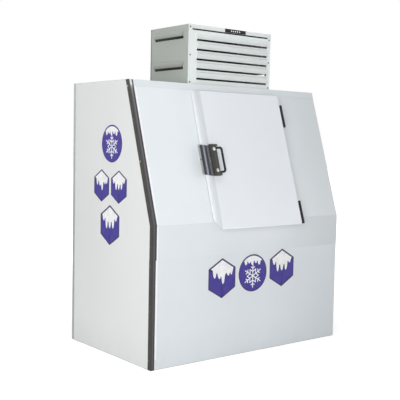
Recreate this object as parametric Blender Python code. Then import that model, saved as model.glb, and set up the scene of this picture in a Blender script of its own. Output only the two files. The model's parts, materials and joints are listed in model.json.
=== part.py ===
"""Slant-front ice merchandiser: an insulated walk-up cabinet that stands on the floor, with one thick
hinged door in its leaning front and a louvred cooling unit on its roof.

Metres, +Z up. The origin is the middle of the cabinet's footprint, on the floor. The front faces -Y,
and +X is to the right of someone who stands before it.
"""
import math

import bmesh
import bpy
from mathutils import Matrix, Vector

# Cabinet
CABINET_WIDTH = 1.626
CABINET_DEPTH = 0.965
CABINET_HEIGHT = 1.778
KINK_HEIGHT = 0.889
ROOF_SETBACK = 0.286
WALL = 0.064
SHEET = 0.0012
FIT = 0.0003
SIDE_FLANGE = 0.018
SKIRT_GAP = 0.003
PANEL_JOINT_HEIGHT = 0.678
PANEL_JOINT_LAP = 0.040
ROOF_BAND = 0.045
REAR_WRAP = 0.025
FOAM_SPLIT_DROP = 0.030
BREAKER_SHEET = 0.003
BREAKER_LIP = 0.014
CUT_OVERRUN = 0.010

# Base frame
BASE_HEIGHT = 0.050
BASE_RAIL = 0.060
BASE_CROSS_MEMBERS = 3

# Corner trim on the left front edge
TRIM_SHEET = 0.0015
TRIM_SIDE = 0.032
TRIM_FRONT_UPPER = 0.028
TRIM_FRONT_LOWER = 0.024

# Door, in the leaning front's own plane
DOOR_LEFT_MARGIN = 0.469
DOOR_RIGHT_MARGIN = 0.433
DOOR_DROP = 0.062
DOOR_TOP_GAP = 0.026
DOOR_DEPTH = 0.065
DOOR_SILL_SLOPE = 0.064
DOOR_HEAD_SLOPE = 0.024
DOOR_CORNER_RADIUS = 0.014
DOOR_EDGE_RADIUS = 0.004
DOOR_SHEET = 0.0012
DOOR_LAP = 0.035
DOOR_SILL_LAP = 0.107
DOOR_BACK_SHEET = 0.003
PLUG_DEPTH = 0.022
PLUG_CLEARANCE = 0.014
PLUG_EDGE_RADIUS = 0.008
GASKET_HEIGHT = 0.005
GASKET_WIDTH = 0.020
GASKET_INSET = 0.004

# Hinges, on the door's right edge
HINGE_LENGTH = 0.158
HINGE_TOP_DROP = 0.070
HINGE_BOTTOM_RISE = 0.007
HINGE_BARREL_RADIUS = 0.0105
HINGE_PIN_RADIUS = 0.0030
HINGE_PIN_PLAY = 0.0005
HINGE_LEAF = 0.0025
HINGE_AXIS_OFFSET = 0.0140
HINGE_AXIS_DEPTH = 0.059
HINGE_FOOT = 0.034
HINGE_DOOR_LEAF = 0.040
HINGE_KNUCKLE_GAP = 0.0010

# Latch, on the door's left edge
LATCH_LENGTH = 0.205
LATCH_BOTTOM_RISE = 0.349
LATCH_INSET = 0.005
LATCH_WIDTH = 0.049
LATCH_HEIGHT = 0.026
LATCH_BEVEL = 0.005
LATCH_EAR = 0.012
LATCH_EAR_REACH = 0.014
STRIKE_SHEET = 0.003
STRIKE_FOOT = 0.014
STRIKE_SIDE_GAP = 0.0042
STRIKE_RISE = 0.012
STRIKE_LEDGE = 0.0018
STRIKE_LENGTH = 0.200
STRIKE_SHIFT = 0.026
STRIKE_RIBS = 2
STRIKE_RIB_WIDTH = 0.010
STRIKE_RIB_DEPTH = 0.0025
STRIKE_RIB_PITCH = 0.026
TONGUE_WIDTH = 0.034
TONGUE_THICKNESS = 0.008
TONGUE_CLEARANCE = 0.0008
TONGUE_SLOT_PLAY = 0.0006
TONGUE_LENGTH = 0.026
TONGUE_TRAVEL = 0.008
HANDLE_PIVOT_RADIUS = 0.0050
HANDLE_PIVOT_PLAY = 0.0004
HANDLE_JOURNAL = 0.006
HANDLE_BAR_RADIUS = 0.0063
HANDLE_REACH = 0.035
HANDLE_RISE = 0.016
HANDLE_CORNER_RADIUS = 0.014
HANDLE_END_INSET = 0.022

# Cooling unit's housing, on the roof
HOUSING_WIDTH = 0.740
HOUSING_DEPTH = 0.432
HOUSING_HEIGHT = 0.394
HOUSING_SHIFT = 0.047
HOUSING_REAR_MARGIN = 0.207
LID_FLANGE = 0.026
LID_SLOT = 0.005
LID_SLOT_END = 0.030
LID_NOTCH = 0.032
HOUSING_FLANGE = 0.025
HOUSING_BASE_RIM = 0.020
FRONT_LOUVRE_COUNT = 5
FRONT_LOUVRE_PITCH = 0.064
FRONT_LOUVRE_BOTTOM = 0.044
FRONT_LOUVRE_LEFT = 0.070
FRONT_LOUVRE_RIGHT = 0.034
SIDE_LOUVRE_COUNT = 2
SIDE_LOUVRE_PITCH = 0.203
SIDE_LOUVRE_BOTTOM = 0.115
SIDE_LOUVRE_MARGIN = 0.052
LOUVRE_HEIGHT = 0.042
LOUVRE_DEPTH = 0.013
LOUVRE_MOUTH = 0.011
SIDE_LOUVRE_MOUTH = 0.015
LOUVRE_ARC_STEPS = 4

# Condensing unit inside the housing
COIL_WIDTH = 0.420
COIL_DEPTH = 0.060
COIL_TOP_GAP = 0.024
COIL_FRONT_GAP = 0.030
COIL_LEFT_GAP = 0.040
COIL_FINS = 28
COIL_FIN_DEPTH = 0.010
COIL_FIN_FILL_SHARE = 0.45
SHROUD_SHEET = 0.0015
SHROUD_RIM = 0.022
FAN_RADIUS = 0.140
FAN_TIP_GAP = 0.008
FAN_BLADE_COUNT = 5
FAN_ROOT_SHARE = 0.6
FAN_BLADE_SHEET = 0.0025
FAN_BLADE_WIDTH = 0.070
FAN_BLADE_PITCH_DEG = 28.0
FAN_HUB_RADIUS = 0.028
FAN_HUB_LENGTH = 0.026
FAN_SHAFT_RADIUS = 0.004
FAN_SHAFT_PLAY = 0.0004
MOTOR_RADIUS = 0.042
MOTOR_LENGTH = 0.070
MOTOR_GAP = 0.006
MOTOR_ARM = 0.008
MOTOR_ARM_COUNT = 4
MOTOR_ARM_TURN_SHARE = 0.625
COMPRESSOR_RADIUS = 0.085
COMPRESSOR_HEIGHT = 0.215
COMPRESSOR_FOOT = 0.190
COMPRESSOR_FOOT_SHEET = 0.004
COMPRESSOR_FOOT_RISE = 0.010
COMPRESSOR_SEAM = 0.004
COMPRESSOR_SEAM_SHARE = 0.62
COMPRESSOR_ARC_STEPS = 4
COMPRESSOR_RIGHT_GAP = 0.130
COMPRESSOR_REAR_GAP = 0.170
RECEIVER_RADIUS = 0.040
RECEIVER_LENGTH = 0.200
RECEIVER_REAR_GAP = 0.060
RECEIVER_LEFT_GAP = 0.060
RECEIVER_SADDLE = 0.016
RECEIVER_SADDLE_SHARES = (0.25, 0.75)
RECEIVER_SADDLE_REACH_SHARE = 0.7
RECEIVER_ARC_STEPS = 3
CONTROL_BOX_WIDTH = 0.120
CONTROL_BOX_DEPTH = 0.060
CONTROL_BOX_HEIGHT = 0.150
CONTROL_BOX_TOP_GAP = 0.060
CONTROL_BOX_FRONT_GAP = 0.030
CONTROL_BOX_EDGE = 0.004
GLAND_RADIUS = 0.011
GLAND_LENGTH = 0.020
LINE_RADIUS = 0.0080
LIQUID_LINE_RADIUS = 0.0050
LINE_BEND = 0.016
LINE_HOLE_RADIUS = 0.030
LINE_HOLE_SHIFT = 0.135
LINE_SPACING = 0.026

# Evaporator, under the ceiling
EVAPORATOR_WIDTH = 0.620
EVAPORATOR_DEPTH = 0.230
EVAPORATOR_HEIGHT = 0.230
EVAPORATOR_SHEET = 0.0015
EVAPORATOR_REAR_GAP = 0.045
EVAPORATOR_COIL_DEPTH = 0.080
EVAPORATOR_FINS = 24
EVAPORATOR_FAN_RADIUS = 0.085
EVAPORATOR_RING = 0.012
EVAPORATOR_HUB_RADIUS = 0.020
EVAPORATOR_BLADE_WIDTH = 0.045
EVAPORATOR_MOTOR_RADIUS = 0.030
EVAPORATOR_MOTOR_LENGTH = 0.045
EVAPORATOR_LINE_DROP = 0.050
DRAIN_PAN_HEIGHT = 0.026
DRAIN_RADIUS = 0.012
DRAIN_BORE_RADIUS = 0.009
DRAIN_OUTLET_HEIGHT = 0.180
DRAIN_PAN_INSET = 0.020
DRAIN_BEND = 0.030
DRAIN_OUTLET_REACH = 0.012
DRAIN_SHIFT = 0.250

# Floor rack
RACK_SLATS = 9
RACK_SLAT = 0.030
RACK_HEIGHT = 0.020
RACK_SLAT_THICKNESS = 0.006
RACK_MARGIN = 0.020
RACK_BEARER = 0.025

ROUND_STEPS = 24
PIN_STEPS = 16
SMOOTH_ANGLE = math.radians(35.0)

# Worked-out places
HALF_WIDTH = CABINET_WIDTH / 2
FRONT_Y = -CABINET_DEPTH / 2
REAR_Y = CABINET_DEPTH / 2
LAYER = SHEET + FIT
SLANT_HEIGHT = CABINET_HEIGHT - KINK_HEIGHT
SLANT_LENGTH = math.hypot(ROOF_SETBACK, SLANT_HEIGHT)
LEAN = math.atan2(ROOF_SETBACK, SLANT_HEIGHT)
FLOOR_Z = BASE_HEIGHT + WALL
CEILING_Z = CABINET_HEIGHT - WALL
INSIDE_HALF = HALF_WIDTH - WALL
SLANT_MATRIX = Matrix.Translation((0, FRONT_Y, KINK_HEIGHT)) @ Matrix.Rotation(-LEAN, 4, "X")

DOOR_LEFT = -HALF_WIDTH + DOOR_LEFT_MARGIN
DOOR_RIGHT = HALF_WIDTH - DOOR_RIGHT_MARGIN
DOOR_BOTTOM = -DOOR_DROP
DOOR_TOP = SLANT_LENGTH - ROOF_BAND - DOOR_TOP_GAP
MOUTH_LEFT = DOOR_LEFT + DOOR_LAP
MOUTH_RIGHT = DOOR_RIGHT - DOOR_LAP
MOUTH_BOTTOM = DOOR_BOTTOM + DOOR_SILL_LAP
MOUTH_TOP = DOOR_TOP - DOOR_LAP
DOOR_BACK = -GASKET_HEIGHT - FIT
HINGE_X = DOOR_RIGHT + HINGE_AXIS_OFFSET
HINGE_PLACE = Vector((HINGE_X, -HINGE_AXIS_DEPTH, DOOR_BOTTOM))
LATCH_LEFT = DOOR_LEFT + LATCH_INSET
LATCH_RIGHT = LATCH_LEFT + LATCH_WIDTH
LATCH_BOTTOM = DOOR_BOTTOM + LATCH_BOTTOM_RISE
LATCH_TOP = LATCH_BOTTOM + LATCH_LENGTH
LATCH_MIDDLE = (LATCH_BOTTOM + LATCH_TOP) / 2
LATCH_FACE = -DOOR_DEPTH - FIT
HANDLE_X = LATCH_RIGHT + LATCH_EAR_REACH / 2
HANDLE_Y = LATCH_FACE - LATCH_HEIGHT / 2
HANDLE_PLACE = Vector((HANDLE_X, HANDLE_Y, LATCH_MIDDLE))
TONGUE_Y = LATCH_FACE - TONGUE_THICKNESS / 2 - FIT
TONGUE_TIP = DOOR_LEFT - STRIKE_SIDE_GAP + STRIKE_LEDGE + TONGUE_CLEARANCE

HOUSING_LEFT = HOUSING_SHIFT - HOUSING_WIDTH / 2
HOUSING_RIGHT = HOUSING_SHIFT + HOUSING_WIDTH / 2
HOUSING_REAR = REAR_Y - HOUSING_REAR_MARGIN
HOUSING_FRONT = HOUSING_REAR - HOUSING_DEPTH
HOUSING_FLOOR = CABINET_HEIGHT + FIT
HOUSING_TOP = CABINET_HEIGHT + HOUSING_HEIGHT
UNIT_FLOOR = HOUSING_FLOOR + LAYER
COIL_LEFT = HOUSING_LEFT + COIL_LEFT_GAP
COIL_RIGHT = COIL_LEFT + COIL_WIDTH
COIL_FRONT = HOUSING_FRONT + COIL_FRONT_GAP
COIL_TOP = HOUSING_TOP - COIL_TOP_GAP
COIL_BACK = COIL_FRONT + COIL_DEPTH
FAN_CENTRE = Vector(((COIL_LEFT + COIL_RIGHT) / 2, COIL_BACK + SHROUD_RIM, (UNIT_FLOOR + COIL_TOP) / 2))
COMPRESSOR_X = HOUSING_RIGHT - COMPRESSOR_RIGHT_GAP
COMPRESSOR_Y = HOUSING_REAR - COMPRESSOR_REAR_GAP
LINE_HOLE_X = COMPRESSOR_X - LINE_HOLE_SHIFT
LINE_HOLE_Y = HOUSING_REAR - RECEIVER_REAR_GAP

EVAPORATOR_REAR = REAR_Y - WALL - EVAPORATOR_REAR_GAP
EVAPORATOR_FRONT = EVAPORATOR_REAR - EVAPORATOR_DEPTH
EVAPORATOR_TOP = CEILING_Z - FIT
EVAPORATOR_BOTTOM = EVAPORATOR_TOP - EVAPORATOR_HEIGHT
EVAPORATOR_X = HOUSING_SHIFT
DRAIN_X = EVAPORATOR_X - DRAIN_SHIFT


def clear_scene():
    for item in list(bpy.data.objects):
        bpy.data.objects.remove(item, do_unlink=True)


def make_material(name, colour, roughness, metallic=0.0):
    material = bpy.data.materials.new(name)
    material.use_nodes = True
    shader = material.node_tree.nodes["Principled BSDF"]
    shader.inputs["Base Color"].default_value = (*colour, 1.0)
    shader.inputs["Roughness"].default_value = roughness
    shader.inputs["Metallic"].default_value = metallic
    return material


def make_materials():
    return {
        "white_paint": make_material("white_paint", (0.80, 0.82, 0.84), 0.35),
        "side_paint": make_material("side_paint", (0.76, 0.76, 0.75), 0.40),
        "housing_paint": make_material("housing_paint", (0.66, 0.69, 0.66), 0.45),
        "trim_steel": make_material("trim_steel", (0.09, 0.09, 0.10), 0.40, 0.6),
        "galvanised": make_material("galvanised", (0.52, 0.54, 0.55), 0.42, 0.9),
        "liner_steel": make_material("liner_steel", (0.68, 0.70, 0.71), 0.36, 0.8),
        "foam": make_material("foam", (0.78, 0.70, 0.42), 0.95),
        "white_plastic": make_material("white_plastic", (0.82, 0.83, 0.83), 0.45),
        "gasket_rubber": make_material("gasket_rubber", (0.18, 0.18, 0.19), 0.70),
        "black_metal": make_material("black_metal", (0.02, 0.02, 0.02), 0.38, 0.5),
        "bright_steel": make_material("bright_steel", (0.62, 0.63, 0.64), 0.28, 1.0),
        "compressor_black": make_material("compressor_black", (0.03, 0.03, 0.03), 0.45),
        "copper": make_material("copper", (0.72, 0.38, 0.22), 0.35, 1.0),
        "aluminium_fin": make_material("aluminium_fin", (0.70, 0.71, 0.72), 0.40, 1.0),
    }


def finish(name, mesh_bm, material):
    """Turn a bmesh into a named object with closed, outward faces."""
    bmesh.ops.recalc_face_normals(mesh_bm, faces=mesh_bm.faces)
    mesh = bpy.data.meshes.new(name)
    mesh_bm.to_mesh(mesh)
    mesh_bm.free()
    if material is not None:
        mesh.materials.append(material)
    item = bpy.data.objects.new(name, mesh)
    bpy.context.scene.collection.objects.link(item)
    return item


def prism(name, outline, low, high, axis, material=None):
    """Extrude a flat outline: (y, z) points along X, (x, z) along Y or (x, y) along Z."""
    places = {"X": lambda a, b, c: (c, a, b), "Y": lambda a, b, c: (a, c, b), "Z": lambda a, b, c: (a, b, c)}
    mesh_bm = bmesh.new()
    corners = [mesh_bm.verts.new(places[axis](a, b, low)) for a, b in outline]
    face = mesh_bm.faces.new(corners)
    grown = bmesh.ops.extrude_face_region(mesh_bm, geom=[face])
    moved = [part for part in grown["geom"] if isinstance(part, bmesh.types.BMVert)]
    shift = Vector(places[axis](0, 0, high - low))
    bmesh.ops.translate(mesh_bm, verts=moved, vec=shift)
    return finish(name, mesh_bm, material)


def block(name, low, high, material=None):
    """A box between two opposite corners."""
    outline = [(low[0], low[1]), (high[0], low[1]), (high[0], high[1]), (low[0], high[1])]
    return prism(name, outline, low[2], high[2], "Z", material)


def loft(name, rings, material=None):
    """Join rings of points with quads and close both ends."""
    mesh_bm = bmesh.new()
    rows = [[mesh_bm.verts.new(point) for point in ring] for ring in rings]
    count = len(rings[0])
    for lower, upper in zip(rows, rows[1:]):
        for index in range(count):
            after = (index + 1) % count
            mesh_bm.faces.new((lower[index], lower[after], upper[after], upper[index]))
    mesh_bm.faces.new(rows[0])
    mesh_bm.faces.new(rows[-1])
    return finish(name, mesh_bm, material)


def turned(name, profile, centre, axis="Z", steps=ROUND_STEPS, material=None):
    """Spin a profile of (radius, height) points, whose ends lie on the axis, into a solid."""
    mesh_bm = bmesh.new()
    line = [mesh_bm.verts.new((radius, 0, height)) for radius, height in profile]
    edges = [mesh_bm.edges.new(pair) for pair in zip(line, line[1:])]
    bmesh.ops.spin(mesh_bm, geom=line + edges, cent=(0, 0, 0), axis=(0, 0, 1),
                   angle=math.tau, steps=steps, use_merge=True)
    bmesh.ops.remove_doubles(mesh_bm, verts=mesh_bm.verts, dist=FIT / 10)
    turns = {"X": Matrix.Rotation(math.pi / 2, 4, "Y"), "Y": Matrix.Rotation(-math.pi / 2, 4, "X"),
             "Z": Matrix.Identity(4)}
    bmesh.ops.transform(mesh_bm, matrix=Matrix.Translation(centre) @ turns[axis], verts=mesh_bm.verts)
    item = finish(name, mesh_bm, material)
    smooth(item)
    return item


def rod(name, centre, radius, length, axis="Z", steps=PIN_STEPS, material=None):
    """A round bar whose middle is at centre."""
    half = length / 2
    profile = [(0, -half), (radius, -half), (radius, half), (0, half)]
    return turned(name, profile, centre, axis, steps, material)


def smooth(item):
    item.data.shade_smooth()
    item.data.set_sharp_from_angle(angle=SMOOTH_ANGLE)


def combine(target, tools, operation):
    """Join tools to the target, or cut them out of it, and drop the tools."""
    for tool in tools:
        modifier = target.modifiers.new("shape", "BOOLEAN")
        modifier.operation = operation
        modifier.object = tool
        tool.hide_render = True
        tool.display_type = "WIRE"
    evaluated = target.evaluated_get(bpy.context.evaluated_depsgraph_get())
    mesh = bpy.data.meshes.new_from_object(evaluated)
    old_mesh = target.data
    target.modifiers.clear()
    target.data = mesh
    bpy.data.meshes.remove(old_mesh)
    mesh.name = target.name
    for tool in tools:
        bpy.data.objects.remove(tool, do_unlink=True)
    return target


def cut(target, *tools):
    return combine(target, tools, "DIFFERENCE")


def join(target, *tools):
    return combine(target, tools, "UNION")


def lean(item):
    """Move a shape from the leaning front's own upright frame into place."""
    item.data.transform(SLANT_MATRIX)
    return item


def round_edges(item, radius, chosen, segments=2):
    """Bevel the edges for which chosen(middle, direction) is true."""
    mesh_bm = bmesh.new()
    mesh_bm.from_mesh(item.data)
    edges = []
    for edge in mesh_bm.edges:
        first, second = (vert.co for vert in edge.verts)
        if chosen((first + second) / 2, (second - first).normalized()):
            edges.append(edge)
    bmesh.ops.bevel(mesh_bm, geom=edges, offset=radius, segments=segments, profile=0.5, affect="EDGES",
                    clamp_overlap=True)
    mesh_bm.to_mesh(item.data)
    mesh_bm.free()
    return item


def rectangle(low_x, high_x, low_z, high_z, radius=0.0, steps=3):
    """Corners of a rectangle, each rounded by an arc where a radius is given."""
    if radius == 0:
        return [(low_x, low_z), (high_x, low_z), (high_x, high_z), (low_x, high_z)]
    centres = ((high_x - radius, low_z + radius, -90), (high_x - radius, high_z - radius, 0),
               (low_x + radius, high_z - radius, 90), (low_x + radius, low_z + radius, 180))
    points = []
    for centre_x, centre_z, start in centres:
        for step in range(steps + 1):
            angle = math.radians(start + 90 * step / steps)
            points.append((centre_x + radius * math.cos(angle), centre_z + radius * math.sin(angle)))
    return points


def hang(items, place):
    """Put the origin of moving pieces on their joint's axis and leave the pieces where they are."""
    for item in items:
        item.data.transform(Matrix.Translation(-place))
        item.location = place


def cabinet_outline(front, slant, roof, rear, floor):
    """The cabinet's side outline, with each edge set in from the outer surface by its own amount."""
    front_y = FRONT_Y + front
    roof_z = CABINET_HEIGHT - roof
    kink_z = KINK_HEIGHT + (front * math.cos(LEAN) - slant) / math.sin(LEAN)
    return [(front_y, floor), (REAR_Y - rear, floor), (REAR_Y - rear, roof_z),
            (slant_y(roof_z, slant), roof_z), (front_y, kink_z)]


def slant_y(height, depth):
    """Y of the leaning front at a height, at a depth behind its outer surface."""
    return FRONT_Y + (depth + (height - KINK_HEIGHT) * math.sin(LEAN)) / math.cos(LEAN)


def kink_point(depth):
    """The fold of a layer that lies at one depth behind both front surfaces."""
    return (FRONT_Y + depth, KINK_HEIGHT - depth * math.tan(LEAN / 2))


def bent_layer(outer, inner, low, high):
    """Outline of a layer that runs up the upright front, bends at the fold and leans back to a height."""
    return [(FRONT_Y + outer, low), (FRONT_Y + inner, low), kink_point(inner), (slant_y(high, inner), high),
            (slant_y(high, outer), high), kink_point(outer)]


def mouth_outline(grow):
    return rectangle(MOUTH_LEFT - grow, MOUTH_RIGHT + grow, MOUTH_BOTTOM - grow, MOUTH_TOP + grow)


def mouth_cutter(grow):
    """A block that opens the door's mouth through every layer of the leaning front."""
    return lean(prism("mouth", mouth_outline(grow), -CUT_OVERRUN, WALL + CUT_OVERRUN, "Y"))


def line_hole(low, high):
    height = high - low + 2 * CUT_OVERRUN
    return rod("hole", (LINE_HOLE_X, LINE_HOLE_Y, (low + high) / 2), LINE_HOLE_RADIUS, height)


def drain_hole(low, high):
    reach = high - low + 2 * CUT_OVERRUN
    return rod("hole", (DRAIN_X, (low + high) / 2, DRAIN_OUTLET_HEIGHT), DRAIN_RADIUS + FIT, reach, "Y")


def make_base_frame(paint):
    """A ladder frame of rails and cross members that stands on the floor."""
    low_x, high_x = -HALF_WIDTH + LAYER, HALF_WIDTH - LAYER
    low_y, high_y = FRONT_Y + 3 * LAYER, REAR_Y - 2 * LAYER
    frame = block("base_frame", (low_x, low_y, 0), (high_x, high_y, BASE_HEIGHT), paint["galvanised"])
    bays = BASE_CROSS_MEMBERS + 1
    bay = (high_x - low_x - (bays + 1) * BASE_RAIL) / bays
    holes = []
    for index in range(bays):
        start = low_x + BASE_RAIL + index * (bay + BASE_RAIL)
        holes.append(block("bay", (start, low_y + BASE_RAIL, -CUT_OVERRUN),
                           (start + bay, high_y - BASE_RAIL, BASE_HEIGHT + CUT_OVERRUN)))
    return cut(frame, *holes)


def make_side_panel(side, paint):
    """A folded pan: the flat side sheet with flanges turned in behind the front, roof and rear sheets."""
    name = "left_side_panel" if side < 0 else "right_side_panel"
    outer = cabinet_outline(2 * LAYER, LAYER, LAYER, LAYER, SKIRT_GAP)
    inner = cabinet_outline(2 * LAYER + SHEET, LAYER + SHEET, LAYER + SHEET, LAYER + SHEET, -CUT_OVERRUN)
    face = side * HALF_WIDTH
    back = side * (HALF_WIDTH - SIDE_FLANGE)
    pan = prism(name, outer, min(face, back), max(face, back), "X", paint["side_paint"])
    start = side * (HALF_WIDTH - SHEET)
    end = side * (HALF_WIDTH - SIDE_FLANGE - CUT_OVERRUN)
    return cut(pan, prism("hollow", inner, min(start, end), max(start, end), "X"))


def make_side_insulation(side, paint):
    name = "left_insulation" if side < 0 else "right_insulation"
    outline = cabinet_outline(3 * LAYER, 2 * LAYER, 2 * LAYER, 2 * LAYER, BASE_HEIGHT + FIT)
    ends = sorted((side * (HALF_WIDTH - LAYER), side * (HALF_WIDTH - WALL + LAYER)))
    return prism(name, outline, *ends, "X", paint["foam"])


def make_side_liner(side, paint):
    name = "left_liner" if side < 0 else "right_liner"
    outline = cabinet_outline(3 * LAYER, 2 * LAYER, 2 * LAYER, 2 * LAYER, BASE_HEIGHT + FIT)
    ends = sorted((side * (INSIDE_HALF + SHEET), side * INSIDE_HALF))
    return prism(name, outline, *ends, "X", paint["liner_steel"])


def make_rear_panel(paint):
    """The rear sheet wraps a little way round both sides."""
    reach = HALF_WIDTH + FIT
    outer = reach + SHEET
    wrap_y = REAR_Y - REAR_WRAP
    inner_y = REAR_Y - SHEET
    outline = [(-outer, wrap_y), (-reach, wrap_y), (-reach, inner_y), (reach, inner_y),
               (reach, wrap_y), (outer, wrap_y), (outer, REAR_Y), (-outer, REAR_Y)]
    panel = prism("rear_panel", outline, SKIRT_GAP, CABINET_HEIGHT - LAYER, "Z", paint["galvanised"])
    return cut(panel, drain_hole(inner_y, REAR_Y))


def make_roof_panel(paint):
    """The roof sheet, whose front edge is turned down over the leaning front as a band."""
    band_z = CABINET_HEIGHT - ROOF_BAND * math.cos(LEAN)
    under_z = CABINET_HEIGHT - SHEET
    outline = [(slant_y(band_z, -LAYER), band_z), (slant_y(band_z, -FIT), band_z),
               (slant_y(under_z, -FIT), under_z), (REAR_Y, under_z), (REAR_Y, CABINET_HEIGHT),
               (slant_y(CABINET_HEIGHT, -LAYER), CABINET_HEIGHT)]
    panel = prism("roof_panel", outline, -HALF_WIDTH, HALF_WIDTH, "X", paint["white_paint"])
    notch_right = -HALF_WIDTH + TRIM_FRONT_UPPER + FIT
    top_z = CABINET_HEIGHT + CUT_OVERRUN
    low_z = band_z - CUT_OVERRUN
    notch = [(slant_y(low_z, 0), low_z), (slant_y(top_z, 0), top_z),
             (slant_y(top_z, -CUT_OVERRUN), top_z), (slant_y(low_z, -CUT_OVERRUN), low_z)]
    cutter = prism("notch", notch, -HALF_WIDTH - CUT_OVERRUN, notch_right, "X")
    return cut(panel, cutter, line_hole(under_z, CABINET_HEIGHT))


def make_lower_front_panel(paint):
    low = (-HALF_WIDTH, FRONT_Y + LAYER, SKIRT_GAP)
    high = (HALF_WIDTH, FRONT_Y + LAYER + SHEET, PANEL_JOINT_HEIGHT + PANEL_JOINT_LAP)
    return block("lower_front_panel", low, high, paint["white_paint"])


def make_slanted_front_panel(paint):
    """One bent sheet: a short upright skirt that laps the lower panel, the fold, and the leaning face."""
    outline = bent_layer(0, SHEET, PANEL_JOINT_HEIGHT, CABINET_HEIGHT - LAYER)
    panel = prism("slanted_front_panel", outline, -HALF_WIDTH, HALF_WIDTH, "X", paint["white_paint"])
    return cut(panel, mouth_cutter(BREAKER_SHEET + FIT))


def make_wall_fillings(paint):
    """Foam slabs and inner sheets of the floor, rear, roof and front, between the two side walls."""
    reach = INSIDE_HALF - FIT
    foam, liner = paint["foam"], paint["liner_steel"]
    split = KINK_HEIGHT - FOAM_SPLIT_DROP
    stand = FLOOR_Z + FIT
    under = CEILING_Z - FIT
    back = REAR_Y - LAYER
    low_y, high_y = FRONT_Y + 3 * LAYER, REAR_Y - 2 * LAYER
    front_y, rear_y = FRONT_Y + WALL, REAR_Y - WALL
    pieces = [
        block("floor_insulation", (-reach, low_y, BASE_HEIGHT + FIT),
              (reach, high_y, FLOOR_Z - LAYER), foam),
        block("floor_liner", (-reach, low_y, FLOOR_Z - SHEET), (reach, high_y, FLOOR_Z), liner),
        block("lower_front_insulation", (-reach, FRONT_Y + 2 * LAYER, stand),
              (reach, front_y - LAYER, split), foam),
        block("lower_front_liner", (-reach, front_y - SHEET, stand), (reach, front_y, split), liner),
    ]
    rear_foam = block("rear_insulation", (-reach, rear_y + LAYER, stand), (reach, back, under), foam)
    rear_liner = block("rear_liner", (-reach, rear_y, stand), (reach, rear_y + SHEET, under), liner)
    pieces.append(cut(rear_foam, drain_hole(rear_y, back)))
    pieces.append(cut(rear_liner, drain_hole(rear_y, rear_y + SHEET)))
    roof_low, roof_high = CEILING_Z + LAYER, CABINET_HEIGHT - LAYER
    roof_outline = [(slant_y(roof_low, LAYER), roof_low), (back, roof_low), (back, roof_high),
                    (slant_y(roof_high, LAYER), roof_high)]
    ceiling_outline = [(slant_y(CEILING_Z, LAYER), CEILING_Z), (back, CEILING_Z),
                       (back, CEILING_Z + SHEET), (slant_y(CEILING_Z + SHEET, LAYER), CEILING_Z + SHEET)]
    roof_foam = prism("roof_insulation", roof_outline, -reach, reach, "X", foam)
    ceiling = prism("ceiling_liner", ceiling_outline, -reach, reach, "X", liner)
    pieces.append(cut(roof_foam, line_hole(roof_low, roof_high)))
    pieces.append(cut(ceiling, line_hole(CEILING_Z, CEILING_Z + SHEET)))
    low = split + FIT
    foam_outline = bent_layer(LAYER, WALL - LAYER, low, under)
    liner_outline = bent_layer(WALL - SHEET, WALL, low, under)
    upper_foam = prism("slanted_front_insulation", foam_outline, -reach, reach, "X", foam)
    upper_liner = prism("slanted_front_liner", liner_outline, -reach, reach, "X", liner)
    opening = BREAKER_SHEET + FIT
    pieces.append(cut(upper_foam, mouth_cutter(opening)))
    pieces.append(cut(upper_liner, mouth_cutter(opening)))
    return pieces


def make_door_breaker(paint):
    """A plastic lining round the mouth that keeps the cold off the skin, with a lip over the inner sheet."""
    wall = BREAKER_SHEET
    back = WALL + FIT
    tube = prism("door_breaker", mouth_outline(wall), 0, back + wall, "Y", paint["white_plastic"])
    flange = prism("lip", mouth_outline(BREAKER_LIP), back, back + wall, "Y")
    hollow = prism("hollow", mouth_outline(0), -CUT_OVERRUN, back + wall + CUT_OVERRUN, "Y")
    return lean(cut(join(tube, flange), hollow))


def trim_section(front_reach, face_depth):
    """L-shaped section as (x, depth) points: one leg on the side, one on the front."""
    side_x = -HALF_WIDTH - FIT
    outer_x = side_x - TRIM_SHEET
    tip_x = -HALF_WIDTH + front_reach
    inner = face_depth - FIT
    outer = inner - TRIM_SHEET
    return [(outer_x, outer), (tip_x, outer), (tip_x, inner), (side_x, inner),
            (side_x, inner + TRIM_SIDE), (outer_x, inner + TRIM_SIDE)]


def make_upper_corner_trim(paint):
    section = trim_section(TRIM_FRONT_UPPER, 0)
    foot = [(x, FRONT_Y + depth, PANEL_JOINT_HEIGHT) for x, depth in section]
    fold = [(x, *kink_point(depth)) for x, depth in section]
    top = [(x, slant_y(CABINET_HEIGHT, depth), CABINET_HEIGHT) for x, depth in section]
    return loft("upper_corner_trim", [foot, fold, top], paint["trim_steel"])


def make_lower_corner_trim(paint):
    section = [(x, FRONT_Y + depth) for x, depth in trim_section(TRIM_FRONT_LOWER, LAYER)]
    return prism("lower_corner_trim", section, SKIRT_GAP, PANEL_JOINT_HEIGHT - FIT, "Z", paint["trim_steel"])


def door_ends(depth, inset=0.0):
    """Lower and upper end of the door at a depth, set in square to its sloping sill and head."""
    back_share = 1 + depth / DOOR_DEPTH
    sill_inset = inset * math.hypot(DOOR_SILL_SLOPE, DOOR_DEPTH) / DOOR_DEPTH
    head_inset = inset * math.hypot(DOOR_HEAD_SLOPE, DOOR_DEPTH) / DOOR_DEPTH
    low = DOOR_BOTTOM + DOOR_SILL_SLOPE * back_share + sill_inset
    high = DOOR_TOP + DOOR_HEAD_SLOPE * back_share - head_inset
    return low, high


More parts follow.
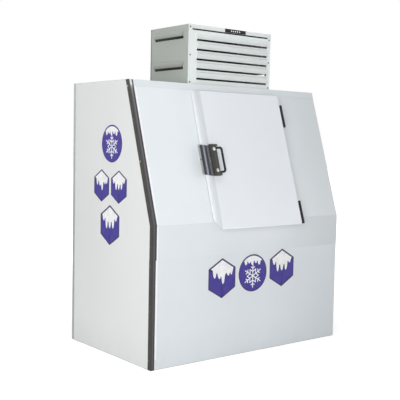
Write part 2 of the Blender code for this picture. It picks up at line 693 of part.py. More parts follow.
def door_slab(name, inset, front, back, edge_radius, material=None):
    """A slab with the door's outline between two depths, with rounded corners and front edge."""
    low_front, high_front = door_ends(front, inset)
    low_back, high_back = door_ends(back, inset)
    outline = [(front, low_front), (back, low_back), (back, high_back), (front, high_front)]
    slab = prism(name, outline, DOOR_LEFT + inset, DOOR_RIGHT - inset, "X", material)
    round_edges(slab, DOOR_CORNER_RADIUS - inset, lambda middle, way: abs(way.y) > math.sin(LEAN), 3)
    if edge_radius > 0:
        round_edges(slab, edge_radius, lambda middle, way: middle.y < front + FIT)
    return slab


def make_door_pan(paint):
    """The door's outer skin: a deep folded pan with rounded corners and a rolled front edge."""
    outer = door_slab("door_outer_pan", 0, -DOOR_DEPTH, DOOR_BACK, DOOR_EDGE_RADIUS, paint["white_paint"])
    wall = DOOR_SHEET
    past = DOOR_BACK + CUT_OVERRUN / 2
    hollow = door_slab("hollow", wall, wall - DOOR_DEPTH, past, DOOR_EDGE_RADIUS - wall)
    return cut(outer, hollow)


def make_door_insulation(paint):
    wall = DOOR_SHEET + FIT
    return door_slab("door_insulation", wall, wall - DOOR_DEPTH, DOOR_BACK - DOOR_BACK_SHEET - FIT,
                     DOOR_EDGE_RADIUS - wall, paint["foam"])


def make_door_liner(paint):
    """The door's inner moulding, with a raised plug that stands in the mouth when the door is shut."""
    wall = DOOR_SHEET + FIT
    plate = door_slab("door_inner_liner", wall, DOOR_BACK - DOOR_BACK_SHEET, DOOR_BACK, 0,
                      paint["white_plastic"])
    plug = prism("plug", mouth_outline(-PLUG_CLEARANCE), DOOR_BACK - FIT, PLUG_DEPTH, "Y")
    round_edges(plug, PLUG_EDGE_RADIUS, lambda middle, way: middle.y > PLUG_DEPTH - FIT)
    return join(plate, plug)


def make_door_gasket(paint):
    """A soft ring that seals on the cabinet's face round the mouth."""
    low_x, high_x = DOOR_LEFT + GASKET_INSET, DOOR_RIGHT - GASKET_INSET
    low_z, high_z = MOUTH_BOTTOM - GASKET_INSET - GASKET_WIDTH, DOOR_TOP - GASKET_INSET
    back = DOOR_BACK + FIT
    ring = prism("door_gasket", rectangle(low_x, high_x, low_z, high_z, GASKET_INSET), back, -FIT, "Y",
                 paint["gasket_rubber"])
    width = GASKET_WIDTH
    hole = prism("hole", rectangle(low_x + width, high_x - width, low_z + width, high_z - width),
                 back - CUT_OVERRUN, CUT_OVERRUN, "Y")
    return cut(ring, hole)


def sill_wedge():
    """The space below the door's sloping sill, and below the cabinet's fold."""
    drop = DOOR_BOTTOM - CUT_OVERRUN
    fold = DOOR_BOTTOM + DOOR_SILL_SLOPE + FIT
    outline = [(-DOOR_DEPTH, drop), (-DOOR_DEPTH, DOOR_BOTTOM + FIT), (0, fold), (DOOR_DEPTH, fold),
               (DOOR_DEPTH, drop)]
    end = DOOR_RIGHT + HINGE_FOOT + HINGE_AXIS_OFFSET + CUT_OVERRUN
    return prism("wedge", outline, DOOR_RIGHT, end, "X")


def hinge_knuckle(low, high):
    centre = (HINGE_X, -HINGE_AXIS_DEPTH, (low + high) / 2)
    return rod("knuckle", centre, HINGE_BARREL_RADIUS, high - low)


def hinge_thirds(bottom):
    third = HINGE_LENGTH / 3
    return bottom + third, bottom + 2 * third, bottom + HINGE_LENGTH


def make_hinge_frame_leaf(name, bottom, paint):
    """The fixed half: a foot on the cabinet's face, a web beside the door, two knuckles and the pin."""
    first, second, top = hinge_thirds(bottom)
    web_left = HINGE_X + HINGE_PIN_RADIUS
    foot_face = -HINGE_LEAF - FIT
    outline = [(web_left, -HINGE_AXIS_DEPTH), (web_left + HINGE_LEAF, -HINGE_AXIS_DEPTH),
               (web_left + HINGE_LEAF, foot_face), (web_left + HINGE_FOOT, foot_face),
               (web_left + HINGE_FOOT, -FIT), (web_left, -FIT)]
    leaf = prism(name, outline, bottom, top, "Z", paint["black_metal"])
    clearance = HINGE_BARREL_RADIUS + HINGE_KNUCKLE_GAP
    relief = block("relief", (HINGE_X - clearance, -HINGE_AXIS_DEPTH - clearance, first),
                   (HINGE_X + clearance, -HINGE_AXIS_DEPTH + clearance, second))
    cut(leaf, relief, sill_wedge())
    pin = rod("pin", (HINGE_X, -HINGE_AXIS_DEPTH, (bottom + top) / 2), HINGE_PIN_RADIUS, HINGE_LENGTH)
    return join(leaf, hinge_knuckle(bottom, first), hinge_knuckle(second, top), pin)


def make_hinge_door_leaf(name, bottom, paint):
    """The moving half: a leaf on the door's edge and one knuckle that turns on the pin."""
    first, second, top = hinge_thirds(bottom)
    face = DOOR_RIGHT + FIT
    near = -HINGE_AXIS_DEPTH + HINGE_BARREL_RADIUS
    far = -HINGE_AXIS_DEPTH + HINGE_DOOR_LEAF
    leaf = block(name, (face, -HINGE_AXIS_DEPTH, bottom), (face + HINGE_LEAF, far, top),
                 paint["black_metal"])
    low, high = first + HINGE_KNUCKLE_GAP, second - HINGE_KNUCKLE_GAP
    cut(leaf, sill_wedge())
    bridge = block("bridge", (face, near - HINGE_LEAF, low), (HINGE_X, near, high))
    join(leaf, bridge, hinge_knuckle(low, high))
    bore = rod("bore", (HINGE_X, -HINGE_AXIS_DEPTH, (low + high) / 2), HINGE_PIN_RADIUS + HINGE_PIN_PLAY,
               HINGE_LENGTH)
    return cut(leaf, bore)


def make_strike(paint):
    """A folded keeper beside the door: a foot, a ribbed riser and the ledge over the latch's tongue."""
    foot_right = DOOR_LEFT - STRIKE_SIDE_GAP
    riser_left = foot_right - STRIKE_SHEET
    top = -DOOR_DEPTH - STRIKE_RISE
    left = riser_left - STRIKE_FOOT
    outline = [(left, -FIT), (left, -FIT - STRIKE_SHEET)]
    start = -FIT - STRIKE_SHEET
    outline.append((riser_left, start))
    for index in range(STRIKE_RIBS):
        middle = start - STRIKE_RIB_PITCH * (index + 0.5)
        outline += [(riser_left, middle + STRIKE_RIB_WIDTH / 2),
                    (riser_left - STRIKE_RIB_DEPTH, middle + STRIKE_RIB_WIDTH / 4),
                    (riser_left - STRIKE_RIB_DEPTH, middle - STRIKE_RIB_WIDTH / 4),
                    (riser_left, middle - STRIKE_RIB_WIDTH / 2)]
    outline += [(riser_left, top), (foot_right + STRIKE_LEDGE, top),
                (foot_right + STRIKE_LEDGE, top + STRIKE_SHEET), (foot_right, top + STRIKE_SHEET),
                (foot_right, -FIT)]
    low = LATCH_MIDDLE + STRIKE_SHIFT - STRIKE_LENGTH / 2
    return prism("strike_plate", outline, low, low + STRIKE_LENGTH, "Z", paint["bright_steel"])


def make_latch_body(paint):
    """The latch's case on the door's face, with two ears for the handle and a slot for the tongue."""
    top_y = LATCH_FACE - LATCH_HEIGHT
    ear_right = LATCH_RIGHT + LATCH_EAR_REACH
    case = block("latch_body", (LATCH_LEFT, top_y, LATCH_BOTTOM), (LATCH_RIGHT, LATCH_FACE, LATCH_TOP),
                 paint["black_metal"])
    ears = [block("ear", (LATCH_RIGHT - LATCH_EAR, top_y, low), (ear_right, LATCH_FACE, low + LATCH_EAR))
            for low in (LATCH_BOTTOM, LATCH_TOP - LATCH_EAR)]
    join(case, *ears)
    round_edges(case, LATCH_BEVEL, lambda middle, way: middle.y < top_y + FIT)
    half = TONGUE_WIDTH / 2 + TONGUE_SLOT_PLAY
    slot_end = TONGUE_TIP + TONGUE_LENGTH + TONGUE_TRAVEL + TONGUE_SLOT_PLAY
    slot_roof = TONGUE_Y - TONGUE_THICKNESS / 2 - FIT
    slot = block("slot", (LATCH_LEFT - CUT_OVERRUN, slot_roof, LATCH_MIDDLE - half),
                 (slot_end, LATCH_FACE + CUT_OVERRUN, LATCH_MIDDLE + half))
    reach = LATCH_LENGTH - 2 * (LATCH_EAR - HANDLE_JOURNAL)
    bore = rod("bore", HANDLE_PLACE, HANDLE_PIVOT_RADIUS + HANDLE_PIVOT_PLAY, reach + 2 * FIT)
    return cut(case, slot, bore)


def make_latch_tongue(paint):
    half = TONGUE_WIDTH / 2
    low = (TONGUE_TIP, TONGUE_Y - TONGUE_THICKNESS / 2, LATCH_MIDDLE - half)
    high = (TONGUE_TIP + TONGUE_LENGTH, TONGUE_Y + TONGUE_THICKNESS / 2, LATCH_MIDDLE + half)
    tongue = block("latch_tongue", low, high, paint["bright_steel"])
    return round_edges(tongue, TONGUE_THICKNESS / 4,
                       lambda middle, way: middle.x < low[0] + FIT and abs(way.z) > math.cos(SMOOTH_ANGLE))


def sweep(name, points, radius, material=None, resolution=2):
    """A round bar or tube along a smooth run of points, closed at both ends."""
    curve = bpy.data.curves.new(name, "CURVE")
    curve.dimensions = "3D"
    curve.bevel_depth = radius
    curve.bevel_resolution = resolution
    curve.use_fill_caps = True
    spline = curve.splines.new("POLY")
    spline.points.add(len(points) - 1)
    for point, place in zip(spline.points, points):
        point.co = (*place, 1.0)
    item = bpy.data.objects.new(name, curve)
    bpy.context.scene.collection.objects.link(item)
    mesh = bpy.data.meshes.new_from_object(item.evaluated_get(bpy.context.evaluated_depsgraph_get()))
    bpy.data.objects.remove(item, do_unlink=True)
    mesh_bm = bmesh.new()
    mesh_bm.from_mesh(mesh)
    bmesh.ops.remove_doubles(mesh_bm, verts=mesh_bm.verts, dist=FIT / 10)
    bpy.data.meshes.remove(mesh)
    solid = finish(name, mesh_bm, material)
    smooth(solid)
    return solid


def rounded_route(corners, radius, steps=4):
    """Points along straight runs whose corners are rounded by arcs."""
    places = [Vector(corner) for corner in corners]
    route = [places[0]]
    for before, corner, after in zip(places, places[1:], places[2:]):
        inward = (before - corner).normalized()
        outward = (after - corner).normalized()
        half = inward.angle(outward) / 2
        reach = radius / math.tan(half)
        centre = corner + (inward + outward).normalized() * (radius / math.sin(half))
        start = corner + inward * reach - centre
        end = corner + outward * reach - centre
        turn = start.angle(end)
        for step in range(steps + 1):
            angle = turn * step / steps
            route.append(centre + (start * math.sin(turn - angle) + end * math.sin(angle)) / math.sin(turn))
    route.append(places[-1])
    return route


def make_latch_handle(paint):
    """A D-shaped pull: a pivot bar between the ears and a round bar that stands off the door."""
    inset = HANDLE_END_INSET
    low, high = LATCH_BOTTOM + inset, LATCH_TOP - inset
    out_x, out_y = HANDLE_X + HANDLE_REACH, HANDLE_Y - HANDLE_RISE
    corners = [(HANDLE_X, HANDLE_Y, low), (out_x, out_y, low), (out_x, out_y, high),
               (HANDLE_X, HANDLE_Y, high)]
    bar = sweep("latch_handle", rounded_route(corners, HANDLE_CORNER_RADIUS), HANDLE_BAR_RADIUS,
                paint["black_metal"])
    reach = LATCH_LENGTH - 2 * (LATCH_EAR - HANDLE_JOURNAL)
    return join(bar, rod("pivot", HANDLE_PLACE, HANDLE_PIVOT_RADIUS, reach))


def louvre_outline(depth, height, low, back):
    """Section of one pressed louvre: a rolled hood, open along its lower edge."""
    points = [(back, low), (back, height)]
    for step in range(LOUVRE_ARC_STEPS + 1):
        angle = math.pi / 2 * step / LOUVRE_ARC_STEPS
        points.append((-depth * math.sin(angle), height * math.cos(angle)))
    points.append((-depth, low))
    return points


def add_louvres(panel, left, right, bottoms, mouth=LOUVRE_MOUTH):
    """Press rows of louvres outwards (-Y) in an upright sheet whose outer face is at y = 0."""
    hoods = []
    hollows = []
    for bottom in bottoms:
        outer = [(y, bottom + z) for y, z in louvre_outline(LOUVRE_DEPTH, LOUVRE_HEIGHT, 0, SHEET / 2)[:-1]]
        inner = [(y, bottom + z) for y, z in louvre_outline(LOUVRE_DEPTH - SHEET, LOUVRE_HEIGHT - SHEET,
                                                            -mouth, SHEET + CUT_OVERRUN)]
        hoods.append(prism("hood", outer, left, right, "X"))
        hollows.append(prism("hollow", inner, left + SHEET, right - SHEET, "X"))
    join(panel, *hoods)
    return cut(panel, *hollows)


def turn_to(item, angle_deg, place):
    """Stand a panel that was made facing -Y at its own side of the housing."""
    item.data.transform(Matrix.Translation(place) @ Matrix.Rotation(math.radians(angle_deg), 4, "Z"))
    return item


def louvre_bottoms(count, pitch, first):
    return [first + pitch * index for index in range(count)]


def make_housing_front(paint):
    """The louvred front sheet, with a narrow air slot just under the lid's front edge."""
    height = HOUSING_HEIGHT - LAYER - FIT
    half = HOUSING_WIDTH / 2
    panel = block("housing_front_panel", (-half, 0, 0), (half, SHEET, height), paint["housing_paint"])
    add_louvres(panel, -half + FRONT_LOUVRE_LEFT, half - FRONT_LOUVRE_RIGHT,
                louvre_bottoms(FRONT_LOUVRE_COUNT, FRONT_LOUVRE_PITCH, FRONT_LOUVRE_BOTTOM))
    slot_top = HOUSING_HEIGHT - LID_FLANGE
    cut(panel, block("slot", (-half + LID_NOTCH, -CUT_OVERRUN, slot_top - LID_SLOT),
                     (half - LID_SLOT_END, SHEET + CUT_OVERRUN, slot_top)))
    return turn_to(panel, 0, (HOUSING_SHIFT, HOUSING_FRONT, HOUSING_FLOOR))


def make_housing_rear(paint):
    height = HOUSING_HEIGHT - LAYER - FIT
    half = HOUSING_WIDTH / 2
    panel = block("housing_rear_panel", (-half, 0, 0), (half, SHEET, height), paint["housing_paint"])
    add_louvres(panel, -half + FRONT_LOUVRE_LEFT, half - FRONT_LOUVRE_LEFT,
                louvre_bottoms(FRONT_LOUVRE_COUNT, FRONT_LOUVRE_PITCH, FRONT_LOUVRE_BOTTOM))
    return turn_to(panel, 180, (HOUSING_SHIFT, HOUSING_REAR, HOUSING_FLOOR))


def make_housing_side(side, paint):
    """A side sheet with two louvres and flanges turned in behind the front and rear sheets."""
    name = "housing_left_panel" if side < 0 else "housing_right_panel"
    height = HOUSING_HEIGHT - LAYER - FIT
    half = HOUSING_DEPTH / 2 - LAYER
    flange = HOUSING_FLANGE
    outline = [(-half, 0), (half, 0), (half, flange), (half - SHEET, flange), (half - SHEET, SHEET),
               (-half + SHEET, SHEET), (-half + SHEET, flange), (-half, flange)]
    panel = prism(name, outline, 0, height, "Z", paint["housing_paint"])
    add_louvres(panel, -half + SIDE_LOUVRE_MARGIN, half - SIDE_LOUVRE_MARGIN,
                louvre_bottoms(SIDE_LOUVRE_COUNT, SIDE_LOUVRE_PITCH, SIDE_LOUVRE_BOTTOM),
                SIDE_LOUVRE_MOUTH)
    face = HOUSING_LEFT if side < 0 else HOUSING_RIGHT
    return turn_to(panel, 90 * side, (face, (HOUSING_FRONT + HOUSING_REAR) / 2, HOUSING_FLOOR))


def make_housing_lid(paint):
    """The top cover: its front and rear edges are turned down over the louvred sheets."""
    front, rear = HOUSING_FRONT - FIT, HOUSING_REAR + FIT
    low, under = HOUSING_TOP - LID_FLANGE, HOUSING_TOP - SHEET
    outline = [(front - SHEET, low), (front, low), (front, under), (rear, under), (rear, low),
               (rear + SHEET, low), (rear + SHEET, HOUSING_TOP), (front - SHEET, HOUSING_TOP)]
    lid = prism("housing_lid", outline, HOUSING_LEFT, HOUSING_RIGHT, "X", paint["housing_paint"])
    notch = block("notch", (HOUSING_LEFT - CUT_OVERRUN, front - SHEET - CUT_OVERRUN, low - CUT_OVERRUN),
                  (HOUSING_LEFT + LID_NOTCH, front, under))
    return cut(lid, notch)


def make_housing_base(paint):
    """A tray on the roof that carries the condensing unit."""
    inset = LAYER
    low = Vector((HOUSING_LEFT + inset, HOUSING_FRONT + 2 * inset, HOUSING_FLOOR))
    high = Vector((HOUSING_RIGHT - inset, HOUSING_REAR - 2 * inset, HOUSING_FLOOR + HOUSING_BASE_RIM))
    tray = block("housing_base", low, high, paint["galvanised"])
    wall = Vector((SHEET, SHEET, SHEET))
    rise = Vector((0, 0, CUT_OVERRUN))
    hollow = block("hollow", low + wall, high - Vector((SHEET, SHEET, 0)) + rise)
    return cut(tray, hollow, line_hole(HOUSING_FLOOR, HOUSING_FLOOR + SHEET))


def finned_outline(left, right, front, back, fins):
    """A comb outline: fins stand out of the front and the back of a coil block."""
    pitch = (right - left) / fins
    land = pitch * COIL_FIN_FILL_SHARE
    lower = []
    upper = []
    for index in range(fins):
        start = left + pitch * index
        lower += [(start, front), (start + land, front), (start + land, front + COIL_FIN_DEPTH),
                  (start + pitch, front + COIL_FIN_DEPTH)]
        upper += [(start, back), (start + land, back), (start + land, back - COIL_FIN_DEPTH),
                  (start + pitch, back - COIL_FIN_DEPTH)]
    return lower + upper[::-1]


def make_condenser_coil(paint):
    outline = finned_outline(COIL_LEFT, COIL_RIGHT, COIL_FRONT, COIL_BACK, COIL_FINS)
    return prism("condenser_coil", outline, UNIT_FLOOR, COIL_TOP, "Z", paint["aluminium_fin"])


def fan_ring(centre, face, sheet, radius, depth):
    """A short collar round a fan, rooted inside the sheet that it stands on, and the hole through both."""
    start, end = face + sheet / 2, face + depth
    middle = (centre.x, (start + end) / 2, centre.z)
    ring = rod("collar", middle, radius + sheet, end - start, "Y", ROUND_STEPS)
    return ring, rod("hole", middle, radius, depth + 2 * CUT_OVERRUN, "Y", ROUND_STEPS)


def make_fan_shroud(paint):
    """The sheet behind the coil, with a collar round the fan."""
    face = COIL_BACK + FIT
    plate = block("fan_shroud", (COIL_LEFT, face, UNIT_FLOOR), (COIL_RIGHT, face + SHROUD_SHEET, COIL_TOP),
                  paint["galvanised"])
    collar, hole = fan_ring(FAN_CENTRE, face, SHROUD_SHEET, FAN_RADIUS + FAN_TIP_GAP, SHROUD_RIM)
    return cut(join(plate, collar), hole)


def fan_blade(centre, radius, hub_radius, width, angle):
    """One flat blade, pitched about its own length, from inside the hub to near the tip."""
    half = FAN_BLADE_SHEET / 2
    root = hub_radius * FAN_ROOT_SHARE
    outline = [(root, -width / 4), (radius, -width / 2), (radius, width / 2), (root, width / 4)]
    blade = prism("blade", outline, -half, half, "Z")
    pitch = Matrix.Rotation(math.radians(FAN_BLADE_PITCH_DEG), 4, "X")
    stand = Matrix.Rotation(math.pi / 2, 4, "X")
    spin = Matrix.Rotation(angle, 4, "Y")
    blade.data.transform(Matrix.Translation(centre) @ spin @ stand @ pitch)
    return blade


def make_fan(name, centre, radius, hub_radius, width, material):
    """Hub and pitched blades, bored for the motor's shaft, turning about Y."""
    hub = rod(name, centre, hub_radius, FAN_HUB_LENGTH, "Y", ROUND_STEPS, material)
    blades = [fan_blade(centre, radius, hub_radius, width, math.tau * index / FAN_BLADE_COUNT)
              for index in range(FAN_BLADE_COUNT)]
    join(hub, *blades)
    bore = rod("bore", centre, FAN_SHAFT_RADIUS + FAN_SHAFT_PLAY, FAN_HUB_LENGTH + 2 * CUT_OVERRUN, "Y")
    return cut(hub, bore)


def make_motor(name, centre, radius, length, arm_reach, arm_y, material):
    """A fan motor behind its fan, with a shaft through the hub and four arms that carry it."""
    start = centre.y + FAN_HUB_LENGTH / 2 + MOTOR_GAP
    end = start + length
    corner = radius / 5
    can = turned(name, [(0, 0), (radius - corner, 0), (radius, corner), (radius, length - corner),
                        (radius - corner, length), (0, length)], (centre.x, start, centre.z), "Y", PIN_STEPS,
                 material)
    shaft_start = centre.y - FAN_HUB_LENGTH / 2
    shaft = rod("shaft", (centre.x, (shaft_start + start + corner) / 2, centre.z), FAN_SHAFT_RADIUS,
                start + corner - shaft_start, "Y")
    half = MOTOR_ARM / 2
    near_y, far_y = (start + end) / 2 - half, (start + end) / 2 + half
    outline = [(radius / 2, near_y), (arm_reach - MOTOR_ARM, near_y), (arm_reach - MOTOR_ARM, arm_y),
               (arm_reach, arm_y), (arm_reach, far_y), (radius / 2, far_y)]
    arms = []
    for index in range(MOTOR_ARM_COUNT):
        arm = prism("arm", outline, -half, half, "Z")
        turn = Matrix.Rotation(math.tau * (index + MOTOR_ARM_TURN_SHARE) / MOTOR_ARM_COUNT, 4, "Y")
        arm.data.transform(Matrix.Translation((centre.x, 0, centre.z)) @ turn)
        arms.append(arm)
    return join(can, shaft, *arms)


def make_compressor(paint):
    """A hermetic can with domed ends and a rolled seam, welded to its foot plate."""
    base = UNIT_FLOOR + FIT
    radius, height = COMPRESSOR_RADIUS, COMPRESSOR_HEIGHT
    dome = radius / 2
    seam = height * COMPRESSOR_SEAM_SHARE
    lift = COMPRESSOR_FOOT_RISE + COMPRESSOR_FOOT_SHEET / 2
    profile = [(0, lift)]
    steps = COMPRESSOR_ARC_STEPS
    for step in range(1, steps + 1):
        angle = math.pi / 2 * step / steps
        profile.append((radius * math.sin(angle), lift + dome * (1 - math.cos(angle))))
    lip = COMPRESSOR_SEAM
    profile += [(radius, seam - lip), (radius + lip, seam - lip), (radius + lip, seam + lip),
                (radius, seam + lip)]
    for step in range(steps + 1):
        angle = math.pi / 2 * step / steps
        profile.append((radius * math.cos(angle), height - dome + dome * math.sin(angle)))
    profile[-1] = (0, height)
    can = turned("compressor", profile, (COMPRESSOR_X, COMPRESSOR_Y, base), "Z", ROUND_STEPS,
                 paint["compressor_black"])
    half = COMPRESSOR_FOOT / 2
    rise = base + COMPRESSOR_FOOT_RISE
    plate = block("plate", (COMPRESSOR_X - half, COMPRESSOR_Y - half, rise),
                  (COMPRESSOR_X + half, COMPRESSOR_Y + half, rise + COMPRESSOR_FOOT_SHEET))
    pads = []
    pad_radius = COMPRESSOR_FOOT_RISE
    pad_reach = half - 2 * pad_radius
    pad_height = COMPRESSOR_FOOT_RISE + FIT
    for side_x in (-1, 1):
        for side_y in (-1, 1):
            pad_x, pad_y = COMPRESSOR_X + side_x * pad_reach, COMPRESSOR_Y + side_y * pad_reach
            pads.append(rod("pad", (pad_x, pad_y, base + pad_height / 2), pad_radius, pad_height))
    return join(can, plate, *pads)


def make_receiver(paint):
    """The liquid receiver: a lying tank with domed ends on two saddles."""
    radius = RECEIVER_RADIUS
    left = HOUSING_LEFT + RECEIVER_LEFT_GAP
    steps = RECEIVER_ARC_STEPS
    profile = [(0, 0)]
    for step in range(1, steps + 1):
        angle = math.pi / 2 * step / steps
        profile.append((radius * math.sin(angle), radius / 2 * (1 - math.cos(angle))))
    profile += [(reach, RECEIVER_LENGTH - height) for reach, height in reversed(profile)]
    centre = Vector((left, HOUSING_REAR - RECEIVER_REAR_GAP, UNIT_FLOOR + FIT + RECEIVER_SADDLE + radius))
    tank = turned("receiver", profile, centre, "X", ROUND_STEPS, paint["compressor_black"])
    saddles = []
    half = RECEIVER_SADDLE / 2
    reach = radius * RECEIVER_SADDLE_REACH_SHARE
    for share in RECEIVER_SADDLE_SHARES:
        middle = left + RECEIVER_LENGTH * share
        saddles.append(block("saddle", (middle - half, centre.y - reach, UNIT_FLOOR + FIT),
                             (middle + half, centre.y + reach, centre.z)))
    return join(tank, *saddles)


def make_control_box(paint):
    """The electrical box on the right-hand sheet, with the gland that the supply comes through."""
    right = HOUSING_RIGHT - LAYER
    top = HOUSING_TOP - CONTROL_BOX_TOP_GAP
    front = HOUSING_FRONT + CONTROL_BOX_FRONT_GAP
    low = (right - CONTROL_BOX_DEPTH, front, top - CONTROL_BOX_HEIGHT)
    high = (right, front + CONTROL_BOX_WIDTH, top)
    box = block("control_box", low, high, paint["galvanised"])
    round_edges(box, CONTROL_BOX_EDGE, lambda middle, way: middle.x < low[0] + FIT)
    place = (right - CONTROL_BOX_DEPTH / 2, front + CONTROL_BOX_WIDTH / 2, low[2] - GLAND_LENGTH / 2)
    gland = rod("gland", place, GLAND_RADIUS, GLAND_LENGTH + 2 * FIT)
    return join(box, gland)


def make_lines(paint):
    """Refrigerant tubes: compressor to coil, evaporator to compressor and receiver to evaporator."""
    copper = paint["copper"]
    low_z = UNIT_FLOOR + COMPRESSOR_HEIGHT / 2
    high_z = COIL_TOP - LINE_BEND
    coil_y = (COIL_FRONT + COIL_BACK) / 2
    discharge = [(COMPRESSOR_X, COMPRESSOR_Y, UNIT_FLOOR + 2 * FIT + COMPRESSOR_HEIGHT),
                 (COMPRESSOR_X, COMPRESSOR_Y, high_z), (COMPRESSOR_X, coil_y, high_z),
                 (COIL_RIGHT + FIT, coil_y, high_z)]
    suction_x = LINE_HOLE_X + LINE_SPACING / 2
    liquid_x = LINE_HOLE_X - LINE_SPACING / 2
    cold_y = EVAPORATOR_REAR - EVAPORATOR_COIL_DEPTH - FIT
    cold_z = EVAPORATOR_TOP - EVAPORATOR_LINE_DROP
    shell_x = COMPRESSOR_X - COMPRESSOR_RADIUS - FIT
    suction = [(shell_x, COMPRESSOR_Y, low_z), (suction_x, COMPRESSOR_Y, low_z),
               (suction_x, LINE_HOLE_Y, low_z), (suction_x, LINE_HOLE_Y, cold_z),
               (suction_x, cold_y, cold_z)]
    receiver_z = UNIT_FLOOR + FIT + RECEIVER_SADDLE + RECEIVER_RADIUS
    receiver_end = HOUSING_LEFT + RECEIVER_LEFT_GAP + RECEIVER_LENGTH + FIT
    liquid = [(receiver_end, LINE_HOLE_Y, receiver_z), (liquid_x, LINE_HOLE_Y, receiver_z),
              (liquid_x, LINE_HOLE_Y, cold_z), (liquid_x, cold_y, cold_z)]
    return [sweep("discharge_line", rounded_route(discharge, LINE_BEND), LINE_RADIUS, copper),
            sweep("suction_line", rounded_route(suction, LINE_BEND), LINE_RADIUS, copper),
            sweep("liquid_line", rounded_route(liquid, LINE_BEND), LIQUID_LINE_RADIUS, copper)]


def make_condenser_fan(paint):
    """The fan that draws air through the condenser coil, and its motor."""
    fan = make_fan("condenser_fan", FAN_CENTRE, FAN_RADIUS, FAN_HUB_RADIUS, FAN_BLADE_WIDTH,
                   paint["aluminium_fin"])
    reach = FAN_RADIUS + FAN_TIP_GAP + SHROUD_SHEET + 2 * MOTOR_ARM
    seat = COIL_BACK + SHROUD_SHEET + 2 * FIT
    motor = make_motor("condenser_fan_motor", FAN_CENTRE, MOTOR_RADIUS, MOTOR_LENGTH, reach, seat,
                       paint["black_metal"])
    return fan, motor


def evaporator_fan_place():
    middle_z = (EVAPORATOR_TOP + EVAPORATOR_BOTTOM) / 2
    return Vector((EVAPORATOR_X, EVAPORATOR_FRONT + EVAPORATOR_RING + FAN_HUB_LENGTH / 2, middle_z))


def make_evaporator(paint):
    """The cold coil's case under the ceiling, its coil, fan and motor, and what drains it."""
    half = EVAPORATOR_WIDTH / 2
    left, right = EVAPORATOR_X - half, EVAPORATOR_X + half
    sheet = EVAPORATOR_SHEET
    case = block("evaporator_case", (left, EVAPORATOR_FRONT, EVAPORATOR_BOTTOM),
                 (right, EVAPORATOR_REAR, EVAPORATOR_TOP), paint["liner_steel"])
    hollow = block("hollow", (left + sheet, EVAPORATOR_FRONT + sheet, EVAPORATOR_BOTTOM - CUT_OVERRUN),
                   (right - sheet, EVAPORATOR_REAR + CUT_OVERRUN, EVAPORATOR_TOP - sheet))
    centre = evaporator_fan_place()
    inner = EVAPORATOR_FAN_RADIUS + FAN_TIP_GAP
    collar, hole = fan_ring(centre, EVAPORATOR_FRONT, sheet, inner, EVAPORATOR_RING)
    cut(case, hollow)
    cut(join(case, collar), hole, line_hole(EVAPORATOR_TOP - sheet, EVAPORATOR_TOP))
    inset = sheet + FIT
    outline = finned_outline(left + inset, right - inset, EVAPORATOR_REAR - EVAPORATOR_COIL_DEPTH,
                             EVAPORATOR_REAR, EVAPORATOR_FINS)
    coil = prism("evaporator_coil", outline, EVAPORATOR_BOTTOM, EVAPORATOR_TOP - inset, "Z",
                 paint["aluminium_fin"])
    fan = make_fan("evaporator_fan", centre, EVAPORATOR_FAN_RADIUS, EVAPORATOR_HUB_RADIUS,
                   EVAPORATOR_BLADE_WIDTH, paint["white_plastic"])
    motor = make_motor("evaporator_fan_motor", centre, EVAPORATOR_MOTOR_RADIUS, EVAPORATOR_MOTOR_LENGTH,
                       inner + sheet + 2 * MOTOR_ARM, EVAPORATOR_FRONT + sheet + FIT, paint["black_metal"])
    pan_top = EVAPORATOR_BOTTOM - FIT
    pan_low = pan_top - DRAIN_PAN_HEIGHT
    pan = block("drain_pan", (left, EVAPORATOR_FRONT, pan_low), (right, EVAPORATOR_REAR, pan_top),
                paint["liner_steel"])
    cut(pan, block("hollow", (left + sheet, EVAPORATOR_FRONT + sheet, pan_low + sheet),
                   (right - sheet, EVAPORATOR_REAR - sheet, pan_top + CUT_OVERRUN)))
    return case, coil, fan, motor, pan, make_drain_tube(pan_low - FIT, paint)


def make_drain_tube(top, paint):
    down_y = EVAPORATOR_REAR - DRAIN_PAN_INSET
    out_y = REAR_Y + DRAIN_OUTLET_REACH
    route = [(DRAIN_X, down_y, top), (DRAIN_X, down_y, DRAIN_OUTLET_HEIGHT),
             (DRAIN_X, out_y, DRAIN_OUTLET_HEIGHT)]
    tube = sweep("drain_tube", rounded_route(route, DRAIN_BEND), DRAIN_RADIUS, paint["white_plastic"], 3)
    bore = rod("bore", (DRAIN_X, out_y, DRAIN_OUTLET_HEIGHT), DRAIN_BORE_RADIUS, 2 * WALL, "Y")
    return cut(tube, bore)


def make_floor_rack(paint):
    """Slats on bearers, to keep the bags of ice off the floor."""
    reach = INSIDE_HALF - RACK_MARGIN
    front, rear = FRONT_Y + WALL + RACK_MARGIN, REAR_Y - WALL - RACK_MARGIN
    low = FLOOR_Z + FIT
    top = low + RACK_HEIGHT + RACK_SLAT_THICKNESS
    pitch = (rear - front - RACK_SLAT) / (RACK_SLATS - 1)
    rack = block("floor_rack", (-reach, front, low + RACK_HEIGHT), (reach, front + RACK_SLAT, top),
                 paint["galvanised"])
    parts = [block("slat", (-reach, front + pitch * index, low + RACK_HEIGHT),
                   (reach, front + pitch * index + RACK_SLAT, top)) for index in range(1, RACK_SLATS)]
    for share in (-1, 0, 1):
        middle = share * (reach - RACK_BEARER)
        parts.append(block("bearer", (middle - RACK_BEARER / 2, front, low),
                           (middle + RACK_BEARER / 2, rear, low + RACK_HEIGHT + FIT)))
    return join(rack, *parts)


